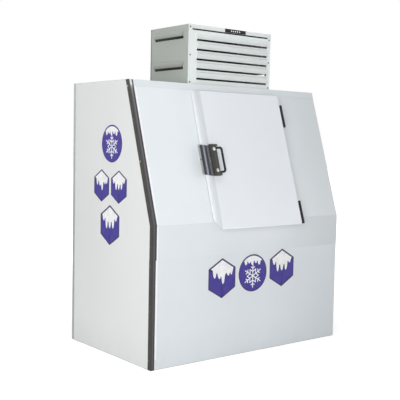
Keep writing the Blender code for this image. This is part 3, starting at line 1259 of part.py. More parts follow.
def make_door(paint):
    """Everything that swings with the door, and the fixed hinge leaves and keeper beside it."""
    upper = DOOR_TOP - HINGE_TOP_DROP - HINGE_LENGTH
    lower = DOOR_BOTTOM + HINGE_BOTTOM_RISE
    fixed = [make_door_breaker(paint), lean(make_strike(paint)),
             lean(make_hinge_frame_leaf("upper_hinge_frame_leaf", upper, paint)),
             lean(make_hinge_frame_leaf("lower_hinge_frame_leaf", lower, paint))]
    swinging = [make_door_pan(paint), make_door_insulation(paint), make_door_liner(paint),
                make_door_gasket(paint), make_hinge_door_leaf("upper_hinge_door_leaf", upper, paint),
                make_hinge_door_leaf("lower_hinge_door_leaf", lower, paint), make_latch_body(paint)]
    tongue = make_latch_tongue(paint)
    handle = make_latch_handle(paint)
    hang([lean(item) for item in swinging], SLANT_MATRIX @ HINGE_PLACE)
    hang([lean(tongue)], SLANT_MATRIX @ Vector((TONGUE_TIP, TONGUE_Y, LATCH_MIDDLE)))
    hang([lean(handle)], SLANT_MATRIX @ HANDLE_PLACE)
    return fixed + swinging + [tongue, handle]


def build():
    clear_scene()
    paint = make_materials()
    make_base_frame(paint)
    for side in (-1, 1):
        make_side_panel(side, paint)
        make_side_insulation(side, paint)
        make_side_liner(side, paint)
        make_housing_side(side, paint)
    make_rear_panel(paint)
    make_roof_panel(paint)
    make_lower_front_panel(paint)
    make_slanted_front_panel(paint)
    make_wall_fillings(paint)
    make_upper_corner_trim(paint)
    make_lower_corner_trim(paint)
    make_door(paint)
    make_housing_front(paint)
    make_housing_rear(paint)
    make_housing_lid(paint)
    make_housing_base(paint)
    make_condenser_coil(paint)
    make_fan_shroud(paint)
    condenser_fan, _motor = make_condenser_fan(paint)
    hang([condenser_fan], FAN_CENTRE)
    make_compressor(paint)
    make_receiver(paint)
    make_control_box(paint)
    make_lines(paint)
    evaporator_fan = make_evaporator(paint)[2]
    hang([evaporator_fan], evaporator_fan_place())
    make_floor_rack(paint)


build()
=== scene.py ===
"""Looks of the leaning-front ice merchandiser: paints, metals, fasteners, prints, floor and light."""
import bmesh
import bpy
import json
import math
from mathutils import Matrix, Vector


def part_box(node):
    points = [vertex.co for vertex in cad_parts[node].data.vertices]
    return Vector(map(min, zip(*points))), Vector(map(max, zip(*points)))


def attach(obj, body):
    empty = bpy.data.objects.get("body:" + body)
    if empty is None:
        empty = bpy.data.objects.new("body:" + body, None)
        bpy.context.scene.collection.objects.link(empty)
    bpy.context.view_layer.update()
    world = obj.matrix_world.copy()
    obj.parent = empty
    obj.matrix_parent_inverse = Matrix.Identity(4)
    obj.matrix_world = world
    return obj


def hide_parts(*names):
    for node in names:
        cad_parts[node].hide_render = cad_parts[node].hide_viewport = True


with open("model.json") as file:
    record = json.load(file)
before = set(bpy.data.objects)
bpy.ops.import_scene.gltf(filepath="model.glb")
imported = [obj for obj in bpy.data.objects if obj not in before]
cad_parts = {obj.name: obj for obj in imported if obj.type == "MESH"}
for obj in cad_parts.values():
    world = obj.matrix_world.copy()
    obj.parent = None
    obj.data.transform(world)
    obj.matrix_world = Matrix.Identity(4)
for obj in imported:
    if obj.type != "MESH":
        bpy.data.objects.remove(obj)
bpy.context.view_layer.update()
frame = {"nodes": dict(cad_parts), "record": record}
nodes = frame["nodes"]

# The leaning front's own plane: x along the cabinet, z up the slope, y into the cabinet
FRONT_Y = -0.4825
KINK = 0.889
LEAN = math.atan2(0.286, 0.889)
SLANT = Matrix.Translation((0, FRONT_Y, KINK)) @ Matrix.Rotation(-LEAN, 4, "X")

# Cabinet, cooling unit and door, in metres
LEFT = -0.813
ROOF = 1.778
LOWER_FRONT_Y = -0.481
HOUSE_LEFT, HOUSE_RIGHT = -0.323, 0.417
HOUSE_FRONT, HOUSE_REAR, HOUSE_TOP = -0.1565, 0.2755, 2.172
LOUVRE_FIRST, LOUVRE_PITCH = ROOF + 0.044, 0.064
DOOR_LEFT, DOOR_RIGHT = LEFT + 0.469, 0.380
DOOR_LOW, DOOR_HIGH, DOOR_DEPTH = -0.062, 0.8629, 0.065
DOOR_CORNER = 0.014
SHADE_BAND_NEAR, SHADE_BAND_FAR = 0.0310, 0.0620
CASE_LEFT, CASE_RIGHT, CASE_FACE = DOOR_LEFT + 0.005, DOOR_LEFT + 0.054, 0.0913


# Materials

def new_material(name):
    material = bpy.data.materials.new(name)
    material.use_nodes = True
    tree = material.node_tree
    return material, tree, tree.nodes["Principled BSDF"]


def node(tree, kind, **settings):
    made = tree.nodes.new(kind)
    for key, value in settings.items():
        setattr(made, key, value)
    return made


def own_metres(tree):
    """The piece's own place in metres, which stays on it when it moves."""
    return tree.nodes.new("ShaderNodeTexCoord").outputs["Object"]


def axes(tree):
    """The same place as separate X, Y and Z."""
    split = tree.nodes.new("ShaderNodeSeparateXYZ")
    tree.links.new(own_metres(tree), split.inputs["Vector"])
    return split.outputs


def calc(tree, operation, *parts):
    """Work out one sum from outputs and plain numbers."""
    made = node(tree, "ShaderNodeMath", operation=operation)
    for socket, part in zip(made.inputs, parts):
        if isinstance(part, float):
            socket.default_value = part
        else:
            tree.links.new(part, socket)
    return made.outputs["Value"]


def span(tree, source, low, high, start=0.0, end=1.0, **settings):
    """Read a value that runs from low to high as one that runs from start to end."""
    made = node(tree, "ShaderNodeMapRange", **settings)
    limits = (("From Min", low), ("From Max", high), ("To Min", start), ("To Max", end))
    for socket, value in limits:
        made.inputs[socket].default_value = value
    tree.links.new(source, made.inputs["Value"])
    return made.outputs["Result"]


def grain_of(tree, scale, detail=2.0, rough=0.5, stretch=(1, 1, 1)):
    """A soft noise on the piece's own metres."""
    place = tree.nodes.new("ShaderNodeMapping")
    place.inputs["Scale"].default_value = stretch
    noise = tree.nodes.new("ShaderNodeTexNoise")
    for socket, value in (("Scale", scale), ("Detail", detail), ("Roughness", rough)):
        noise.inputs[socket].default_value = value
    tree.links.new(own_metres(tree), place.inputs["Vector"])
    tree.links.new(place.outputs["Vector"], noise.inputs["Vector"])
    return noise.outputs["Fac"]


def cells_of(tree, scale):
    """A pattern of cells on the piece's own metres."""
    cells = tree.nodes.new("ShaderNodeTexVoronoi")
    cells.inputs["Scale"].default_value = scale
    tree.links.new(own_metres(tree), cells.inputs["Vector"])
    return cells.outputs


def ramp(tree, source, stops):
    """Turn a value into colours, or into greys where a stop gives one number."""
    made = tree.nodes.new("ShaderNodeValToRGB")
    line = made.color_ramp
    while len(line.elements) < len(stops):
        line.elements.new(0.5)
    for element, (place, colour) in zip(line.elements, stops):
        element.position = place
        element.color = (*colour, 1.0) if isinstance(colour, tuple) else (colour, colour, colour, 1.0)
    tree.links.new(source, made.inputs["Fac"])
    return made.outputs["Color"]


def mix(tree, share, first, second, blend="MIX"):
    made = node(tree, "ShaderNodeMix", data_type="RGBA", blend_type=blend)
    for name, value in (("Factor", share), ("A", first), ("B", second)):
        if isinstance(value, float):
            made.inputs[name].default_value = value
        elif isinstance(value, tuple):
            made.inputs[name].default_value = (*value, 1.0)
        else:
            tree.links.new(value, made.inputs[name])
    return made.outputs["Result"]


def times(tree, paint, tone):
    return mix(tree, 1.0, paint, tone, "MULTIPLY")


def toned(colour, share):
    return tuple(part * share for part in colour)


def colour_with(tree, shader, source):
    tree.links.new(source, shader.inputs["Base Color"])


def roughen(tree, shader, source, low, low_rough, high, high_rough):
    """Let a texture move the roughness between two values."""
    tree.links.new(ramp(tree, source, [(low, low_rough), (high, high_rough)]), shader.inputs["Roughness"])


def bumps(tree, shader, layers, bevel=0.0):
    """Stack height textures, each with its own depth in metres, over a softened edge."""
    before = None
    if bevel:
        edge = tree.nodes.new("ShaderNodeBevel")
        edge.samples = 4
        edge.inputs["Radius"].default_value = bevel
        before = edge.outputs["Normal"]
    for height, depth, strength in layers:
        made = tree.nodes.new("ShaderNodeBump")
        made.inputs["Distance"].default_value = depth
        made.inputs["Strength"].default_value = strength
        tree.links.new(height, made.inputs["Height"])
        if before is not None:
            tree.links.new(before, made.inputs["Normal"])
        before = made.outputs["Normal"]
    tree.links.new(before, shader.inputs["Normal"])


def dust_and_shade_lines(tree, axis, paint, lines):
    """Dust and painted shade just above some heights: at the housing's foot, and on its side hoods over their
    mouths.

    Each line is its height, how far it reaches up, its strength and how far out its hood stands.
    """
    dust_shade_tone, below = (0.15, 0.145, 0.11), 0.004
    middle, half = (HOUSE_LEFT + HOUSE_RIGHT) / 2, (HOUSE_RIGHT - HOUSE_LEFT) / 2
    away = calc(tree, "ABSOLUTE", calc(tree, "SUBTRACT", axis["X"], middle))
    for low, reach, strength, proud in lines:
        hood = calc(tree, "GREATER_THAN", away, half + proud)
        band = span(tree, axis["Z"], low + reach, low, 0.0, strength)
        above = calc(tree, "GREATER_THAN", axis["Z"], low - below)
        here = calc(tree, "MULTIPLY", calc(tree, "MULTIPLY", band, above), hood)
        paint = mix(tree, here, paint, dust_shade_tone)
    return paint


def hood_lip_shade(tree, axis, paint):
    """Painted shade on the pressed hoods of the front louvres, darker towards each hood's lip."""
    rise = span(tree, axis["Z"], LOUVRE_FIRST, LOUVRE_FIRST + LOUVRE_PITCH, clamp=False)
    tone = ramp(tree, calc(tree, "FRACT", rise), [(0.0, 0.78), (0.15, 0.85), (0.38, 0.93), (0.62, 1.0)])
    proud = span(tree, axis["Y"], HOUSE_FRONT - 0.0008, HOUSE_FRONT - 0.0030)
    return mix(tree, proud, paint, times(tree, paint, tone))


def proud_share(tree, near, far):
    """How far a point stands out of the leaning front: 0 at the near depth, 1 at the far one."""
    depth = node(tree, "ShaderNodeVectorMath", operation="DOT_PRODUCT")
    depth.inputs[1].default_value = (0.0, -math.cos(LEAN), math.sin(LEAN))
    tree.links.new(own_metres(tree), depth.inputs[0])
    face = -FRONT_Y * math.cos(LEAN) + KINK * math.sin(LEAN)
    return span(tree, depth.outputs["Value"], face + near, face + far)


def door_edge_shade(tree, axis, paint):
    """The left edge of the door's face, a little darker: painted shade standing in for the sheet rolling back
    to its side.
    """
    door_foot, door_head, narrow, wide = 0.83, 1.69, 0.018, 0.034
    width = span(tree, axis["Z"], door_foot, door_head, narrow, wide)
    share = calc(tree, "DIVIDE", calc(tree, "SUBTRACT", axis["X"], DOOR_LEFT), width)
    tone = ramp(tree, share, [(0.0, 0.82), (0.40, 0.82), (0.70, 0.90), (1.0, 1.0)])
    return mix(tree, proud_share(tree, 0.052, 0.060), paint, times(tree, paint, tone))


def leg_painted_shade(tree, axis, paint, share):
    """The short upright skirt under the fold, a little darker than the leaning face: painted shade."""
    under = span(tree, axis["Z"], KINK - 0.003, KINK + 0.001, share, 1.0)
    made = node(tree, "ShaderNodeVectorMath", operation="SCALE")
    tree.links.new(paint, made.inputs[0])
    tree.links.new(under, made.inputs["Scale"])
    return made.outputs["Vector"]


def powder_coat(name, colour, shade, grime=0.35, fade=1.0, dust_and_shade=(), leg=1.0, hoods=False, rolled=False):
    """Baked paint: fine orange peel, a slow drift of tone, faint grime low down and small scuffs, and painted
    shade where asked.
    """
    material, tree, shader = new_material(name)
    shade_start_x, shade_end_x, splash_top = 0.10, 0.80, 0.22
    axis = axes(tree)
    base = ramp(tree, grain_of(tree, 1.6, 3, 0.55), [(0.35, shade), (0.65, colour)])
    # Painted shade: darker towards the right, where the light falls off.
    if fade < 1.0:
        right = span(tree, axis["X"], shade_start_x, shade_end_x, interpolation_type="SMOOTHSTEP")
        base = mix(tree, right, base, toned(shade, fade))
    # Dust and painted shade just above the given heights.
    if dust_and_shade:
        base = dust_and_shade_lines(tree, axis, base, dust_and_shade)
    # Painted shade on the front louvres' hoods.
    if hoods:
        base = hood_lip_shade(tree, axis, base)
    # Painted shade along the left edge of the door's face.
    if rolled:
        base = door_edge_shade(tree, axis, base)
    # Painted shade on the skirt under the fold.
    if leg < 1.0:
        base = leg_painted_shade(tree, axis, base, leg)
    low = span(tree, axis["Z"], splash_top, 0.0)
    splash = calc(tree, "MULTIPLY", low, grain_of(tree, 22, 5, 0.7, (1, 1, 0.35)))
    dirty = toned((colour[0], colour[1] * 0.98, colour[2] * 0.93), 0.72)
    base = mix(tree, calc(tree, "MULTIPLY", splash, grime), base, dirty)
    scuffs = ramp(tree, grain_of(tree, 60, 8, 0.75, (1, 1, 0.12)), [(0.70, 0.0), (0.78, 0.10)])
    colour_with(tree, shader, mix(tree, scuffs, base, dirty))
    roughen(tree, shader, grain_of(tree, 14, 4, 0.6), 0.3, 0.31, 0.7, 0.43)
    shader.inputs["Coat Weight"].default_value = 0.12
    shader.inputs["Coat Roughness"].default_value = 0.25
    wave, peel = grain_of(tree, 2.3), grain_of(tree, 420)
    bumps(tree, shader, [(wave, 0.004, 0.20), (peel, 0.00012, 0.5)], 0.0012)
    return material


def zinc(name, tone):
    """Galvanised sheet: broad crystal spangle, slightly blue, with dull streaks."""
    material, tree, shader = new_material(name)
    cells = cells_of(tree, 85)["Color"]
    dark, light = toned((0.94, 0.96, 0.98), tone), toned((1.03, 1.05, 1.07), tone)
    flakes = ramp(tree, cells, [(0.1, dark), (0.9, light)])
    streaks = ramp(tree, grain_of(tree, 5, 5, 0.6, (1, 1, 0.2)), [(0.45, 0.0), (0.75, 0.35)])
    colour_with(tree, shader, mix(tree, streaks, flakes, toned((0.8, 0.8, 0.8), tone)))
    shader.inputs["Metallic"].default_value = 0.85
    roughen(tree, shader, cells, 0.1, 0.40, 0.9, 0.50)
    bumps(tree, shader, [(grain_of(tree, 300, 3, 0.6), 0.0001, 0.4)], 0.0008)
    return material


def metal(name, colour, rough, metallic, grain, bevel=0.0006, spread=0.10, gloss=None):
    """Plain metal with a directional grain and worn patches."""
    material, tree, shader = new_material(name)
    cloud = grain_of(tree, 30, 4, 0.6)
    colour_with(tree, shader, ramp(tree, cloud, [(0.35, toned(colour, 0.78)), (0.6, colour)]))
    brush = grain_of(tree, 90, 4, 0.6, grain)
    roughen(tree, shader, brush, 0.3, rough - spread / 2, 0.7, rough + spread)
    shader.inputs["Metallic"].default_value = metallic
    if gloss is not None:
        shader.inputs["Specular IOR Level"].default_value = gloss
    bumps(tree, shader, [(brush, 0.00008, 0.5)], bevel)
    return material


def embossed_sheet(name, colour):
    """Liner sheet with a pebbled, rolled-in pattern and a slow drift of tone."""
    material, tree, shader = new_material(name)
    cloud = grain_of(tree, 4, 3, 0.5)
    colour_with(tree, shader, ramp(tree, cloud, [(0.35, toned(colour, 0.95)), (0.65, colour)]))
    pebbles = cells_of(tree, 240)["Distance"]
    roughen(tree, shader, pebbles, 0.1, 0.46, 0.7, 0.36)
    shader.inputs["Metallic"].default_value = 0.45
    bumps(tree, shader, [(pebbles, 0.0005, 0.5)], 0.0008)
    return material


def corner_finish(name, colour, pale):
    """The corner angle's front leg: dark, with a painted highlight, a pale line that fades down from the top
    and ends in a glint near it.
    """
    material, tree, shader = new_material(name)
    axis = axes(tree)
    low, leg_width = 1.0, 0.028
    # Painted highlight strength by height, brightest as a glint just under the top.
    glint_by_height = ((low, 0.06), (1.35, 0.085), (1.60, 0.12), (1.68, 0.145), (1.715, 0.22), (1.735, 0.45),
              (1.75, 1.0), (ROOF, 0.9))
    height = ramp(tree, span(tree, axis["Z"], low, ROOF),
                  [((z - low) / (ROOF - low), strength) for z, strength in glint_by_height])
    across = ramp(tree, span(tree, axis["X"], LEFT, LEFT + leg_width),
                  [(0.0, 0.1), (0.3, 1.0), (0.5, 0.9), (0.75, 0.0)])
    brush = grain_of(tree, 90, 4, 0.6, (1, 1, 0.1))
    dark = ramp(tree, brush, [(0.3, toned(colour, 0.85)), (0.7, colour)])
    colour_with(tree, shader, mix(tree, calc(tree, "MULTIPLY", across, height), dark, pale))
    roughen(tree, shader, brush, 0.3, 0.40, 0.7, 0.52)
    shader.inputs["Metallic"].default_value = 0.45
    bumps(tree, shader, [(brush, 0.00008, 0.5)], 0.0006)
    return material


def case_finish(name, colour):
    """The latch case: darker to the left, its side next to the door a lighter grey as painted light, for the
    face that catches the lamps.
    """
    lit_side_grey = (0.25, 0.25, 0.26)
    material = metal(name, colour, 0.40, 0.30, (1, 1, 0.2), 0.0010)
    tree = material.node_tree
    shader = tree.nodes["Principled BSDF"]
    painted = shader.inputs["Base Color"].links[0].from_socket
    across = span(tree, axes(tree)["X"], CASE_LEFT, CASE_RIGHT)
    tone = ramp(tree, across, [(0.0, 0.60), (0.45, 0.62), (0.62, 1.0)])
    side = ramp(tree, across, [(0.025, 1.0), (0.060, 0.0)])
    near = ramp(tree, proud_share(tree, DOOR_DEPTH, CASE_FACE), [(0.50, 1.0), (0.62, 0.0)])
    # Where the case's side gets its painted light.
    worn = calc(tree, "MULTIPLY", side, near)
    colour_with(tree, shader, mix(tree, worn, times(tree, painted, tone), lit_side_grey))
    return material


def keeper_finish(name):
    """The keeper: a pale zinc foot, a dark riser with one worn bright band, a grey top fold."""
    material, tree, shader = new_material(name)
    pale, dark, band, fold = (0.60, 0.64, 0.61), (0.035, 0.034, 0.045), (0.27, 0.27, 0.32), (0.22, 0.22, 0.23)
    tone = ramp(tree, proud_share(tree, 0.0, 0.080),
                [(0.045, pale), (0.075, dark), (0.36, dark), (0.42, band), (0.60, band), (0.66, dark),
                 (0.90, dark), (0.95, fold)])
    rub = grain_of(tree, 40, 5, 0.7, (1, 1, 0.2))
    worn = ramp(tree, rub, [(0.55, 0.0), (0.75, 0.35)])
    colour_with(tree, shader, mix(tree, worn, tone, (0.30, 0.30, 0.31)))
    shader.inputs["Metallic"].default_value = 0.35
    roughen(tree, shader, rub, 0.3, 0.36, 0.7, 0.50)
    bumps(tree, shader, [(grain_of(tree, 300, 3, 0.6), 0.0001, 0.4)], 0.0008)
    return material


def moulded_skin(tree, shader, rough, bump=0.5):
    """The fine spark-eroded skin of moulded plastic."""
    skin = grain_of(tree, 700, 3, 0.6)
    roughen(tree, shader, skin, 0.3, rough - 0.05, 0.7, rough + 0.08)
    bumps(tree, shader, [(skin, 0.0001, bump)], 0.0006)


def plastic(name, colour, rough=0.45, bump=0.5):
    """Moulded plastic or rubber."""
    material, tree, shader = new_material(name)
    cloud = grain_of(tree, 9, 4, 0.6)
    colour_with(tree, shader, ramp(tree, cloud, [(0.35, toned(colour, 0.96)), (0.65, colour)]))
    moulded_skin(tree, shader, rough, bump)
    return material


def edge_shade_finish(name, pale, dull):
    """The band round the door's edge, painted shade on the door's side: pale near the cabinet, greyer towards
    the door's face.
    """
    material, tree, shader = new_material(name)
    tone = ramp(tree, proud_share(tree, SHADE_BAND_NEAR, SHADE_BAND_FAR), [(0.0, pale), (1.0, dull)])
    cloud = ramp(tree, grain_of(tree, 9, 4, 0.6), [(0.35, 0.97), (0.65, 1.0)])
    colour_with(tree, shader, times(tree, tone, cloud))
    moulded_skin(tree, shader, 0.45)
    return material


def foam_board(name):
    """Poured foam with open cells."""
    material, tree, shader = new_material(name)
    cells = cells_of(tree, 260)["Distance"]
    colour_with(tree, shader, ramp(tree, cells, [(0.0, (0.70, 0.60, 0.32)), (0.6, (0.84, 0.76, 0.48))]))
    shader.inputs["Roughness"].default_value = 0.95
    bumps(tree, shader, [(cells, 0.0006, 0.6)])
    return material


def film_finish(name, colour, rough=0.30):
    """Printed vinyl film, faded in patches."""
    material, tree, shader = new_material(name)
    faded = tuple(part * 0.88 + 0.02 for part in colour)
    colour_with(tree, shader, ramp(tree, grain_of(tree, 25, 4, 0.6), [(0.35, faded), (0.6, colour)]))
    roughen(tree, shader, grain_of(tree, 60, 4, 0.6), 0.3, rough - 0.04, 0.7, rough + 0.08)
    bumps(tree, shader, [(grain_of(tree, 420), 0.0001, 0.4)])
    return material


# The front, slant and door copies of the white powder coat differ in tone partly as painted light and shade,
# each set to how brightly its face is lit.
paint_front = powder_coat("white powder coat front", (0.765, 0.81, 0.835), (0.745, 0.79, 0.815), fade=0.93)
paint_slant = powder_coat("white powder coat slant", (0.82, 0.865, 0.89), (0.80, 0.845, 0.87), fade=0.84,
                          leg=0.945)
paint_side = powder_coat("white powder coat side", (0.785, 0.80, 0.79), (0.77, 0.783, 0.775))
paint_door = powder_coat("white powder coat door", (0.84, 0.875, 0.91), (0.82, 0.855, 0.895), rolled=True)
paint_unit = powder_coat("white powder coat unit", (0.83, 0.88, 0.86), (0.81, 0.86, 0.84), grime=0.0,
                         hoods=True)
# The housing's sides and rear: a darker copy of the unit's paint, as painted shade.
unit_side_shaded_paint = powder_coat("shaded powder coat unit side", (0.42, 0.45, 0.41), (0.395, 0.425, 0.385),
                              grime=0.0, dust_and_shade=((ROOF, 0.016, 0.55, -0.02),
                                                (ROOF + 0.116, 0.036, 0.65, 0.001),
                                                (ROOF + 0.319, 0.036, 0.40, 0.001)))
# Painted shade: the dark grey of the rear sheet's lapped flange on the housing's sides.
lap_shade_paint = powder_coat("shaded lap paint", (0.23, 0.245, 0.23), (0.21, 0.225, 0.21), grime=0.0)
zinc_sheet = zinc("galvanised sheet", 0.52)
liner_metal = embossed_sheet("pebbled liner sheet", (0.80, 0.815, 0.82))

EVEN, LONG, FLAT, FINS = (1, 1, 1), (1, 1, 0.1), (1, 1, 0.2), (1, 1, 20)
OLIVE_BLACK = (0.058, 0.060, 0.050)
trim_metal = metal("dark bronze corner angle", (0.062, 0.057, 0.044), 0.45, 0.45, LONG)
# The last colour is the painted highlight on the front leg.
trim_front_metal = corner_finish("violet-black corner angle", (0.052, 0.048, 0.062), (0.85, 0.85, 0.88))
black_iron = metal("black hardware", (0.022, 0.022, 0.024), 0.36, 0.35, EVEN, 0.0010)
bright_metal = metal("bright zinc hardware", (0.64, 0.65, 0.66), 0.27, 1.0, FLAT)
screw_dark = metal("dark zinc screw", (0.16, 0.165, 0.18), 0.38, 0.8, EVEN)
case_metal = case_finish("olive black latch case", OLIVE_BLACK)
plate_metal = metal("olive black plate", OLIVE_BLACK, 0.40, 0.30, FLAT, 0.0010)
keeper_metal = keeper_finish("two-tone keeper")
pull_metal = metal("near-black pull", (0.014, 0.012, 0.020), 0.46, 0.1, (1, 1, 0.3), gloss=0.35)
hinge_metal = metal("black hinge", (0.008, 0.006, 0.012), 0.52, 0.0, (1, 1, 0.3), 0.0010, gloss=0.30)
enamel = metal("black enamel shell", (0.025, 0.026, 0.028), 0.30, 0.1, EVEN, 0.0012)
copper_tube = metal("drawn copper tube", (0.72, 0.38, 0.22), 0.30, 1.0, EVEN, 0.0, 0.18)
fin_metal = metal("mill aluminium fin", (0.70, 0.71, 0.72), 0.38, 1.0, FINS)
# The condenser's fins are near-black as painted shade, so that the louvre slots in front of them read dark.
coil_shade_black = metal("dusty black condenser fin", (0.040, 0.040, 0.038), 0.60, 0.2, FINS)

moulding = plastic("white moulded liner", (0.80, 0.81, 0.81))
edge_vinyl = plastic("white edge vinyl", (0.95, 0.955, 0.96), 0.4)
# The grey band on the door's sides is a sheet put there as painted shade.
shade_band_vinyl = edge_shade_finish("grey painted-shade band", (0.79, 0.81, 0.82), (0.65, 0.67, 0.68))
seal_rubber = plastic("grey door seal", (0.33, 0.34, 0.35), 0.65)
cream_bead = plastic("cream sealant bead", (0.74, 0.72, 0.58), 0.35, 0.2)
slab_foam = foam_board("poured insulation foam")

ink_violet = film_finish("violet vinyl", (0.040, 0.024, 0.275), 0.48)
ink_deep = film_finish("deep violet vinyl", (0.018, 0.014, 0.080), 0.48)
ink_white = film_finish("white vinyl", (0.93, 0.935, 0.93))
ink_ground = film_finish("pale vinyl border", (0.80, 0.81, 0.79))

by_slot = {
    "white_paint": paint_front, "side_paint": paint_side, "housing_paint": paint_unit,
    "trim_steel": trim_metal, "galvanised": zinc_sheet, "liner_steel": liner_metal,
    "foam": slab_foam, "white_plastic": moulding, "gasket_rubber": seal_rubber,
    "black_metal": black_iron, "bright_steel": bright_metal, "compressor_black": enamel,
    "copper": copper_tube, "aluminium_fin": fin_metal,
}
by_node = {
    "slanted_front_panel": paint_slant, "door_outer_pan": paint_door,
    "housing_left_panel": unit_side_shaded_paint, "housing_right_panel": unit_side_shaded_paint,
    "housing_rear_panel": unit_side_shaded_paint, "condenser_coil": coil_shade_black,
    "latch_body": case_metal, "strike_plate": keeper_metal,
}
for part in frame["record"]["subparts"]:
    finish = by_node.get(part["node"], by_slot[part["material_slot"]])
    if "hinge" in part["node"]:
        finish = hinge_metal
    skins = nodes[part["node"]].data.materials
    skins.clear()
    skins.append(finish)


# Modelling helpers

def clear_choice():
    """Leave edit mode and deselect everything."""
    if bpy.context.object and bpy.context.object.mode != "OBJECT":
        bpy.ops.object.mode_set(mode="OBJECT")
    bpy.ops.object.select_all(action="DESELECT")


def pick(item):
    """Select one piece and nothing else."""
    clear_choice()
    item.select_set(True)
    bpy.context.view_layer.objects.active = item


def edit(item, kind="FACE", test=None):
    """Go into edit mode on one piece with all of it, or what the test picks, selected."""
    pick(item)
    bpy.ops.object.mode_set(mode="EDIT")
    bpy.ops.mesh.select_mode(type=kind)
    bpy.ops.mesh.select_all(action="SELECT" if test is None else "DESELECT")
    if test is not None:
        shape = bmesh.from_edit_mesh(item.data)
        group = {"FACE": shape.faces, "EDGE": shape.edges, "VERT": shape.verts}[kind]
        for element in group:
            element.select_set(test(element))
        shape.select_flush_mode()
        bmesh.update_edit_mesh(item.data)


def done():
    bpy.ops.object.mode_set(mode="OBJECT")


def settle(item, name, body, material, matrix=None, angle=30.0):
    """Name a finished piece, put its place in its mesh and let it ride on its body."""
    clear_choice()
    item.data.transform(item.matrix_world if matrix is None else matrix @ item.matrix_world)
    item.matrix_world = Matrix.Identity(4)
    item.name = name
    item.data.name = name
    item.data.materials.clear()
    item.data.materials.append(material)
    pick(item)
    bpy.ops.object.shade_smooth_by_angle(angle=math.radians(angle))
    clear_choice()
    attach(item, body)
    return item


def add_box(low, high):
    """A cube primitive at its size and place."""
    clear_choice()
    centre = [(a + b) / 2 for a, b in zip(low, high)]
    bpy.ops.mesh.primitive_cube_add(size=1, location=centre)
    item = bpy.context.object
    item.scale = [b - a for a, b in zip(low, high)]
    bpy.ops.object.transform_apply(location=True, rotation=False, scale=True)
    return item


def add_round(sides, radius, depth, place, turn=(0, 0, 0)):
    """A cylinder primitive at its size and place."""
    clear_choice()
    bpy.ops.mesh.primitive_cylinder_add(vertices=sides, radius=radius, depth=depth, location=place,
                                        rotation=turn)
    bpy.ops.object.transform_apply(location=True, rotation=True, scale=True)
    return bpy.context.object


def apply_modifier(item, kind, **settings):
    """Put one modifier on a piece and apply it."""
    bpy.context.view_layer.objects.active = item
    made = item.modifiers.new(kind, kind)
    for key, value in settings.items():
        setattr(made, key, value)
    bpy.ops.object.modifier_apply(modifier=made.name)


def soften(item, width, segments=2, angle=30.0):
    pick(item)
    apply_modifier(item, "BEVEL", width=width, segments=segments, limit_method="ANGLE",
                   angle_limit=math.radians(angle), harden_normals=False)
    return item


def copy_of(item, name):
    twin = item.copy()
    twin.data = item.data.copy()
    twin.name = name
    bpy.context.scene.collection.objects.link(twin)
    return twin


def join(items):
    clear_choice()
    for item in items:
        item.select_set(True)
    bpy.context.view_layer.objects.active = items[0]
    bpy.ops.object.join()
    return bpy.context.object


def merge_solids(items):
    """Fuse closed pieces into one."""
    main = items[0]
    for other in items[1:]:
        clear_choice()
        apply_modifier(main, "BOOLEAN", operation="UNION", solver="EXACT", object=other)
        bpy.data.objects.remove(other, do_unlink=True)
    return main


def thicken(item, low, high):
    """Turn a flat sheet at z = 0 into a slab between two heights."""
    edit(item)
    bpy.ops.transform.translate(value=(0, 0, low))
    bpy.ops.mesh.extrude_region_move(TRANSFORM_OT_translate={"value": (0, 0, high - low)})
    bpy.ops.mesh.select_all(action="SELECT")
    bpy.ops.mesh.normals_make_consistent(inside=False)
    done()
    return item


def flat_disc(radius, sides=64, corner=0.0, fill="NGON"):
    clear_choice()
    bpy.ops.mesh.primitive_circle_add(vertices=sides, radius=radius, fill_type=fill)
    item = bpy.context.object
    if corner:
        edit(item)
        bpy.ops.mesh.bevel(offset=corner, segments=6, affect="VERTICES")
        done()
    return item


# Screws, one pattern for all of them
def pan_screw():
    """A pan-head screw of radius 1 whose head's underside is at z = 0, with a cross recess."""
    clear_choice()
    bpy.ops.mesh.primitive_cylinder_add(vertices=20, radius=1.0, depth=0.42, location=(0, 0, 0.21))
    head = bpy.context.object
    edit(head, "FACE", lambda f: f.normal.z > 0.9)
    bpy.ops.mesh.inset(thickness=0.28, depth=0.12)
    bpy.ops.mesh.inset(thickness=0.30, depth=0.05)
    done()
    slots = []
    for turn in (0, math.pi / 2):
        clear_choice()
        bpy.ops.mesh.primitive_cube_add(size=1, location=(0, 0, 0.55), rotation=(0, 0, turn))
        tool = bpy.context.object
        tool.scale = (1.0, 0.20, 0.5)
        bpy.ops.object.transform_apply(location=True, rotation=True, scale=True)
        slots.append(tool)
    clear_choice()
    for tool in slots:
        apply_modifier(head, "BOOLEAN", operation="DIFFERENCE", object=tool)
        bpy.data.objects.remove(tool, do_unlink=True)
    return head


screw_pattern = pan_screw()
OUT_FRONT, OUT_REAR, OUT_LEFT = (0, -1, 0), (0, 1, 0), (-1, 0, 0)


def place_screws(name, places, out, radius, body, material, matrix=None):
    """One screw mesh for each place, its head standing out along the direction out, in one piece."""
    turn = Vector((0, 0, 1)).rotation_difference(Vector(out)).to_matrix().to_4x4()
    made = bmesh.new()
    for index, place in enumerate(places):
        spin = Matrix.Rotation(0.7 * index, 4, "Z")
        shape = Matrix.Translation(place) @ turn @ spin @ Matrix.Scale(radius, 4)
        before = len(made.verts)
        made.from_mesh(screw_pattern.data)
        made.verts.ensure_lookup_table()
        bmesh.ops.transform(made, matrix=shape, verts=made.verts[before:])
    mesh = bpy.data.meshes.new(name)
    made.to_mesh(mesh)
    made.free()
    item = bpy.data.objects.new(name, mesh)
    bpy.context.scene.collection.objects.link(item)
    return settle(item, name, body, material, matrix)


